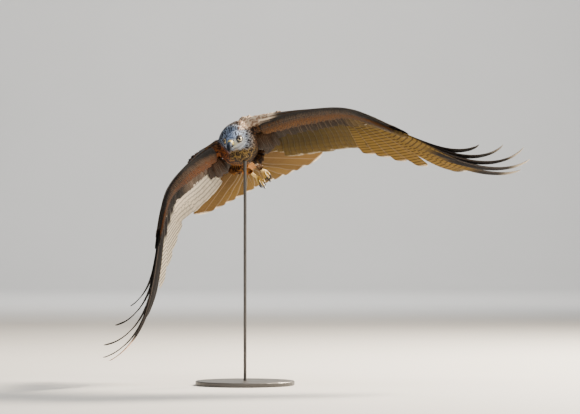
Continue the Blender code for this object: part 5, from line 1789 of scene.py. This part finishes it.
@dataclass
class Leg:
    """A bare scaled tarsus, the foot with its toes, and four claws, finer than the solids'."""

    side: Side
    skin: bpy.types.Material
    horn: bpy.types.Material
    feet: tuple = ((0.0285, 0.1310, -0.0590), (0.0050, 0.1330, -0.0670))
    toes: tuple = (("inner", -24.0, 0.026, 0.018), ("middle", 0.0, 0.036, 0.016),
                   ("outer", 24.0, 0.029, 0.014))
    tarsus_radius: float = 0.0040
    toe_radius: float = 0.0040
    gap: float = 0.0003

    @staticmethod
    def arc(start: Array, along: Array, towards: Array, length: float, bend: float, count: int,
            coarse: int) -> Array:
        """An arc that sets off along one way and bends towards another, through the solids' own points."""
        steps = np.arange(coarse - 1)[:, None] / (coarse - 1)
        along, towards = unit(along), unit(towards)
        step = (np.cos(bend * steps) * along + np.sin(bend * steps) * towards) * length / (coarse - 1)
        rough = np.concatenate([[start], start + np.cumsum(step, axis=0)])
        return blend(tuple(np.linspace(0, 1, coarse)), rough, np.linspace(0, 1, count))

    def shaped(self, name: str, line: Array, radii: Array, reference: Array = UPWARDS, node: str = "",
               horn: bool = False) -> None:
        """Writes a tube with its layer along, placed in the world.

        Args:
            name: Name of the piece, without its side.
            line: Its middle line in the bird's frame.
            radii: Radius at each point of the line.
            reference: Direction that sets how the tube is turned.
            node: The solid whose place it takes, without its side, or none.
            horn: Whether it is a claw.
        """
        sides = 18
        made = tube_piece(line, radii, sides, reference)
        made.layers["along"] = np.repeat(np.concatenate([[0], np.linspace(0, 1, len(line)), [1]]), sides)
        made.points = POSE.place(made.points)
        finish, slot = (self.horn, "horn") if horn else (self.skin, "bare_skin")
        piece = write_piece(f"{name}_{self.side.word}", made, finish)
        if node:
            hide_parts(f"{node}_{self.side.word}")

    def build(self) -> None:
        """Makes the tarsus, the foot's pad, the toes and the claws along the solids' own lines."""
        number = 0 if self.side is Side.LEFT else 1
        hip, hock = np.array(TRUNK.hips[number]), np.array(TRUNK.hocks[number])
        foot = np.array(self.feet[number])
        thigh_way = unit(hock - hip)
        knuckle = hock + thigh_way * 0.014
        way = unit(foot - knuckle)
        start, end = hock - thigh_way * 0.006, foot + way * 0.001
        place = np.linspace(0, 1, 26)[:, None]
        line = (1 - place) ** 2 * start + 2 * place * (1 - place) * knuckle + place**2 * end
        swell = blend((0, 0.2, 0.5, 0.8, 1), (1.3, 1.25, 0.92, 1.0, 1.2), place[:, 0])
        self.shaped("shank", line, self.tarsus_radius * swell, node="tarsus")
        share = np.linspace(0, 1, 14)
        pad = foot - way * 0.0042 + way * 0.011 * share[:, None]
        radii = blend((0, 0.25, 0.5, 0.75, 1), (0.0046, 0.0056, 0.0058, 0.0050, 0.0030), share)
        self.shaped("sole", pad, radii, node="foot")
        down = np.array([0.0, -0.35, -1.0])
        down = unit(down - way * (way @ down))
        across = np.cross(way, down) * self.side.value
        for toe, spread, length, claw in self.toes:
            turn = math.radians(spread)
            ahead = unit(math.cos(turn) * way + math.sin(turn) * across)
            bend = math.radians(95)
            self.toe(toe, self.arc(foot, ahead, down, length, bend, 30, 8), ahead, down, bend, claw, 0.66)
        behind = unit(-0.4 * way + 0.9 * down)
        inward = unit(way - behind * (way @ behind))
        bend = math.radians(20)
        line = self.arc(foot + 0.002 * down + 0.002 * way, behind, inward, 0.019, bend, 24, 6)
        self.toe("hallux", line, behind, inward, bend, 0.021, 0.70)

    def toe(self, name: str, line: Array, ahead: Array, towards: Array, bent: float, claw: float,
            taper: float) -> None:
        """Makes one toe with three pads, and its claw.

        Args:
            name: Name of the toe.
            line: Its middle line.
            ahead: The way it sets off.
            towards: The way it bends to.
            bent: Angle that it bends by.
            claw: Length of the claw.
            taper: Radius at its tip as a share of that at its root.
        """
        share = np.linspace(0, 1, len(line))
        pads = 1 + 0.10 * np.sin(share * 2 * math.pi * 3.0) ** 2
        radii = self.toe_radius * np.minimum((1 + (taper - 1) * share) * pads, 1.06)
        self.shaped(f"toe_{name}", line, radii, np.cross(ahead, towards))
        inward = unit(towards - ahead * (ahead @ towards))
        tip = unit(line[-1] - line[-2])
        bend = unit(math.cos(bent) * inward - math.sin(bent) * ahead)
        bend = unit(bend - tip * (tip @ bend))
        curve = self.arc(line[-1] + tip * self.gap, tip, bend, claw, math.radians(85), 26, 7)
        curve = np.concatenate([[line[-1] - tip * 0.0012], curve])
        radii = 0.0024 * (1 - np.linspace(0, 1, len(curve))) ** 0.75 + 0.0002
        self.shaped(f"talon_{name}", curve, radii, np.cross(tip, bend), f"claw_{name}", horn=True)


@dataclass(frozen=True)
class Light:
    """A square area light, aimed at the bird's body unless another place is given."""

    name: str
    place: tuple
    power: float
    size: float
    tint: tuple
    aim: tuple = (0.0, 0.0, 0.6)

    def make(self) -> None:
        """Adds the light to the scene."""
        data = bpy.data.lights.new(self.name, "AREA")
        data.energy, data.size, data.color = self.power, self.size, self.tint
        made = bpy.data.objects.new(self.name, data)
        made.location = self.place
        made.rotation_euler = (Vector(self.aim) - Vector(self.place)).to_track_quat("-Z", "Y").to_euler()
        bpy.context.scene.collection.objects.link(made)


LIGHTS = (Light("sun_side", (2.4, 2.0, 2.9), 900.0, 0.7, (1.0, 0.86, 0.68)),
          Light("low_side", (2.8, -1.1, 1.8), 165.0, 0.8, (1.0, 0.90, 0.76)),
          Light("front_soft", (-2.4, -4.2, 2.6), 78.0, 2.6, (0.95, 0.97, 1.0)),
          Light("top_soft", (0.4, -0.4, 3.4), 60.0, 2.2, (1.0, 0.98, 0.95)),
          Light("wall_soft", (0.0, 7.2, 4.4), 520.0, 4.0, (1.0, 0.99, 0.97), (0.0, 12.6, 1.2)))


@dataclass
class Studio:
    """A pale floor swept up behind, soft lights with a warm one behind to the right, and the camera."""

    eye: tuple = (0.1224, -9.0, 0.485)
    lens: float = 205.2
    front: float = -9.5
    depth: float = 20.0
    half_width: float = 11.0
    bend_radius: float = 2.2
    wall: float = 7.0
    sky: tuple = (0.92, 0.95, 1.0, 1.0)
    sky_power: float = 0.23

    def floor(self) -> None:
        """The floor: flat, then a quarter circle, then a wall, as one sheet of 60 by 20 points."""
        run = np.linspace(0, 1, 60)
        bend = np.clip((run - 0.45) / 0.35, 0, 1) * math.pi / 2
        y = self.front + self.depth * np.minimum(run / 0.45, 1) + self.bend_radius * np.sin(bend)
        z = self.bend_radius * (1 - np.cos(bend)) + self.wall * np.clip((run - 0.80) / 0.20, 0, 1)
        x = np.linspace(-self.half_width, self.half_width, 20)
        points = np.stack([np.tile(x, 60), np.repeat(y, 20), np.repeat(z, 20)], axis=1)
        mesh = bpy.data.meshes.new("floor")
        mesh.from_pydata(points.tolist(), [], grid_faces(60, 20).tolist())
        mesh.shade_smooth()
        n = Node("studio floor")
        shown = n.mix(n.noise(1.5, 3.0), (0.55, 0.545, 0.53), (0.59, 0.585, 0.575))
        paint = n.add("BsdfPrincipled", {"Base Color": shown, "Roughness": 0.8})
        mesh.materials.append(n.finish(paint.outputs[0]))
        made = bpy.data.objects.new("floor", mesh)
        bpy.context.scene.collection.objects.link(made)

    def build(self) -> None:
        """Sets the floor, the lights, the world and the camera."""
        self.floor()
        for light in LIGHTS:
            light.make()
        world = bpy.data.worlds.new("studio")
        bpy.context.scene.world = world
        world.use_nodes = True
        sky = world.node_tree.nodes["Background"]
        sky.inputs["Color"].default_value = self.sky
        sky.inputs["Strength"].default_value = self.sky_power
        camera = bpy.data.cameras.new("camera")
        camera.lens, camera.sensor_width, camera.clip_end = self.lens, 36.0, 60.0
        made = bpy.data.objects.new("camera", camera)
        made.location = self.eye
        made.rotation_euler = (math.pi / 2, 0.0, 0.0)
        bpy.context.scene.collection.objects.link(made)
        bpy.context.scene.camera = made


def wing_shapes() -> list[WingShape]:
    """Both wings, each with its own reach, twist, fan and curl."""
    left = WingShape(Side.LEFT,
                     ((0.0, -0.056, 0.030), (0.204, -0.112, -0.036), (0.308, -0.133, -0.096),
                      (0.380, -0.086, -0.172)),
                     (8.0, 9.0, 8.0, 3.0), (13.0, 21.0, 29.0, 38.0, 50.0, 59.5, 65.0, 68.0, 70.0, 72.0),
                     (0.0, 0.0, 2.0, 6.0, 22.0, 46.0, 60.0, 74.0, 70.0, 57.0), (0.066, 0.024, 0.014, 0.008))
    right = WingShape(Side.RIGHT,
                      ((0.0, -0.058, 0.014), (0.117, -0.124, -0.017), (0.220, -0.165, -0.073),
                       (0.290, -0.124, -0.146)),
                      (4.0, 5.0, -1.0, -8.0), (13.0, 20.0, 28.0, 38.0, 49.0, 56.5, 55.5, 52.5, 50.0, 48.0),
                      (0.0, 0.0, 2.0, 6.0, 24.0, 56.0, 67.0, 73.0, 67.0, 49.0),
                      (0.056, 0.023, 0.014, 0.008))
    return [left, right]


def main() -> None:
    """Builds the bird, its stand and the studio."""
    logging.basicConfig(level=logging.INFO, format="%(message)s")
    plumage = PlumageFinish("plumage").make()
    wings = wing_shapes()
    skin = Skin(plumage, wings).build()
    Coat(plumage, skin).build()
    for wing in wings:
        Wing(wing, plumage).build()
    Tail(plumage).build()
    wax = BareFinish("waxy yellow skin", (0.52, 0.38, 0.06), (0.30, 0.27, 0.10)).make()
    corner = BareFinish("corners of the mouth", (0.22, 0.19, 0.07), (0.14, 0.13, 0.07)).make()
    lid = BareFinish("dark lid", (0.007, 0.007, 0.008), (0.014, 0.013, 0.014), gloss=0.62).make()
    scaly = BareFinish("scaly yellow skin", (0.56, 0.36, 0.05), (0.36, 0.23, 0.04), scales=1.0).make()
    bill = HornFinish("bill horn", (0.030, 0.044, 0.075), (0.006, 0.007, 0.011), 0.46).make()
    talon = HornFinish("talon horn", (0.035, 0.033, 0.035), (0.008, 0.008, 0.010)).make()
    Face(EyeFinish().make(), lid, wax, corner, bill).build()
    for side in Side:
        Leg(side, scaly, talon).build()
    metal = MetalFinish().make()
    for name in ("stand_base", "stand_rod"):
        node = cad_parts[name]
        node.data.materials.clear()
        node.data.materials.append(metal)
        log.info("%s: dressed", name)
    Studio().build()


if __name__ == "__main__":
    main()
